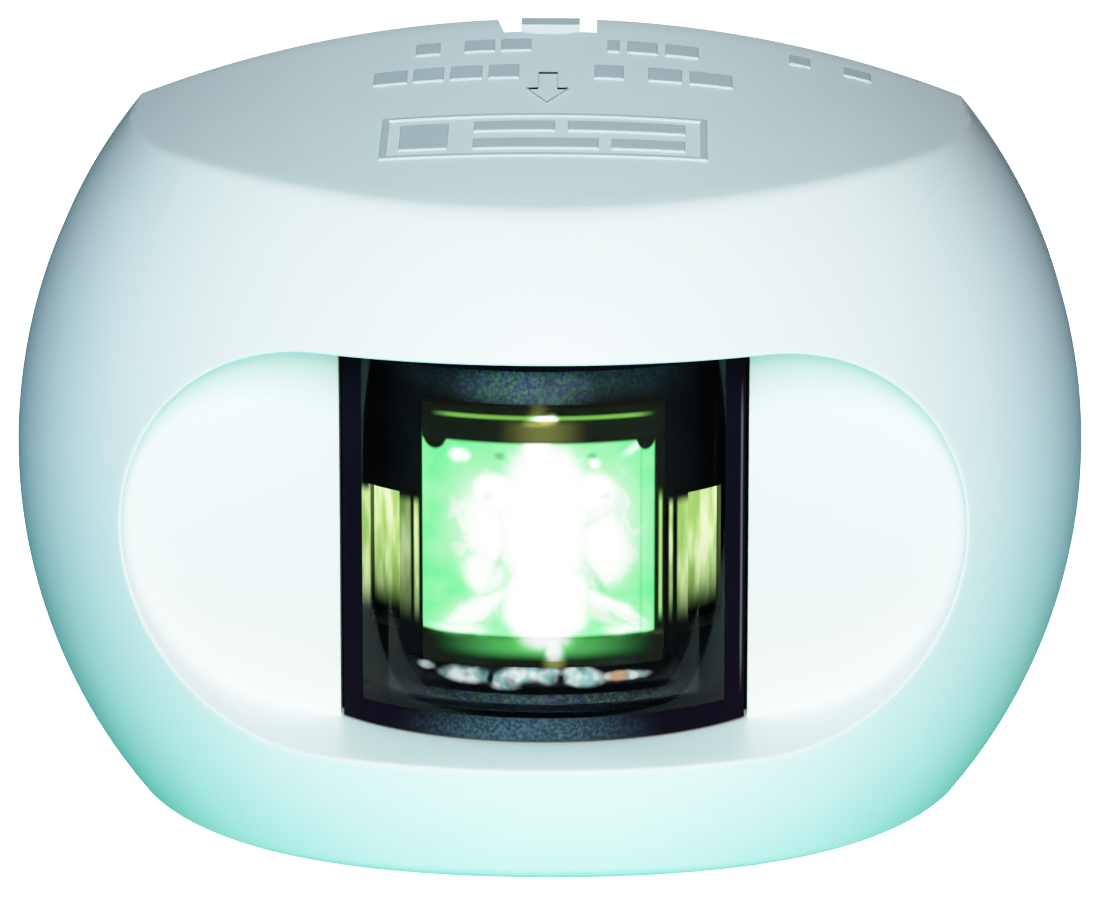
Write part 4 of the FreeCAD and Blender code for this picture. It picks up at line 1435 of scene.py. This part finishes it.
class Studio:
    """Pale floor, soft light and camera."""

    # where the camera stands: metres, radians from straight in front, and its lens
    TARGET = Vector((0.00036, -0.020, 0.00293))
    AZIMUTH = 0.0165
    ELEVATION = 0.2349
    DISTANCE = 0.43245
    LENS_MM = 218.6
    SENSOR_MM = 36.0
    CLIP = (0.01, 50.0)
    FLOOR_HALF = 1.1
    FLOOR_HEIGHT = -0.6
    FLOOR_GLOW = 1.8
    # strength of the white that the camera sees, and of the light that it gives
    SEEN_WHITE = 4.0
    ROOM_LIGHT = 0.04
    BOXES = (
        Softbox("flash", 1, 14, 0.43, 0.05, (0.76, 0.71, 0.3)),
        Softbox("key", 1, 25, 0.5, 0.15, (2.1, 2.6, 3.1)),
        Softbox("left", -30, 20, 0.5, 0.25, (0.03, 0.3, 0.36)),
        Softbox("low_left", -50, -40, 0.5, 0.3, (0.1, 0.5, 0.9)),
        Softbox("low_right", 50, -40, 0.5, 0.3, (0.3, 0.95, 1.3)),
        Softbox("under", 0, -75, 0.5, 0.3, (0.15, 1.7, 0.5)),
        Softbox("behind", 180, -20, 0.7, 0.15, (1.1, 1.5, 1.6)),
    )
    # brightness in the scene and in the picture
    TONE = (
        (0.0, 0.0),
        (0.5, 0.5),
        (0.75, 0.697),
        (1.0, 0.816),
        (1.5, 0.932),
        (2.25, 0.985),
        (3.0, 1.0),
    )

    def camera(self) -> None:
        """Stand the camera where the light is seen from."""
        data = bpy.data.cameras.new("camera")
        data.lens = self.LENS_MM
        data.sensor_width = self.SENSOR_MM
        data.clip_start, data.clip_end = self.CLIP
        bpy.context.scene.camera = self.aim(data, self.AZIMUTH, self.ELEVATION, self.DISTANCE)

    def aim(self, data: bpy.types.ID, turn: float, lift: float, away: float) -> bpy.types.Object:
        """Stand a camera or a lamp round the target, and aim it there.

        Args:
            data: the camera or the lamp.
            turn: angle round the light from straight in front, in radians.
            lift: angle above the light, in radians.
            away: distance in metres.

        Returns:
            The new object.
        """
        flat = math.cos(lift)
        out = Vector((math.sin(turn) * flat, -math.cos(turn) * flat, math.sin(lift)))
        made = bpy.data.objects.new(data.name, data)
        made.location = self.TARGET + out * away
        made.rotation_mode = "QUATERNION"
        made.rotation_quaternion = (-out).to_track_quat("-Z", "Y")
        bpy.context.scene.collection.objects.link(made)
        return made

    def lights(self) -> None:
        """Hang the soft boxes."""
        for box in self.BOXES:
            data = bpy.data.lights.new(box.name, "AREA")
            data.size = box.size
            data.energy = max(box.watts)
            data.color = [watt / max(box.watts) for watt in box.watts]
            angles = math.radians(box.azimuth), math.radians(box.elevation)
            self.aim(data, *angles, box.distance)

    def tone(self) -> None:
        """Give the highlights a soft shoulder."""
        view = bpy.context.scene.view_settings
        view.view_transform = "Standard"
        view.use_curve_mapping = True
        mapping = view.curve_mapping
        top = self.TONE[-1][0]
        mapping.white_level = (top, top, top)
        curve = mapping.curves[3]
        for place, value in self.TONE[1:-1]:
            curve.points.new(place / top, value)
        mapping.update()

    def surroundings(self) -> None:
        """White surroundings that the camera sees bright and the light sees dim."""
        scene = bpy.context.scene
        world = bpy.data.worlds.new("white_room")
        world.use_nodes = True
        tree = world.node_tree
        seen = tree.nodes["Background"]
        seen.inputs[0].default_value = (1, 1, 1, 1)
        seen.inputs[1].default_value = self.SEEN_WHITE
        lit = tree.nodes.new("ShaderNodeBackground")
        lit.inputs[0].default_value = linear("#d0f0ff")
        lit.inputs[1].default_value = self.ROOM_LIGHT
        path = tree.nodes.new("ShaderNodeLightPath")
        mix = tree.nodes.new("ShaderNodeMixShader")
        tree.links.new(path.outputs["Is Camera Ray"], mix.inputs[0])
        tree.links.new(lit.outputs[0], mix.inputs[1])
        tree.links.new(seen.outputs[0], mix.inputs[2])
        tree.links.new(mix.outputs[0], tree.nodes["World Output"].inputs[0])
        scene.world = world

    def floor(self) -> None:
        """Plain pale floor, well below the light, that throws no light on it."""
        mesh = bmesh.new()
        bmesh.ops.create_grid(mesh, x_segments=8, y_segments=8, size=self.FLOOR_HALF)
        bmesh.ops.translate(mesh, vec=(0, 0, self.FLOOR_HEIGHT), verts=mesh.verts)
        floor = add_object("floor", mesh)
        floor.visible_diffuse = False
        floor.visible_glossy = False
        floor.visible_transmission = False
        graph = Graph("pale_floor")
        colour = graph.lumps(0.02).blend(linear("#f3f4f4"), linear("#eceeef"))
        graph.give("Base Color", colour)
        graph.give("Roughness", 0.8)
        graph.give("Emission Color", colour)
        graph.give("Emission Strength", self.FLOOR_GLOW)
        floor.data.materials.append(graph.material)

    def build(self) -> None:
        """Set up the whole studio."""
        self.floor()
        self.surroundings()
        self.tone()
        self.lights()
        self.camera()


def main() -> None:
    """Build the light and its studio."""
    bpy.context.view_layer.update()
    housing = Housing(HousingSize())
    housing.build()
    TopMarks(housing).build()
    LampModule(LampSize()).build()
    HiddenParts().build()
    Studio().build()


if __name__ == "__main__":
    logging.basicConfig(level=logging.INFO)
    main()
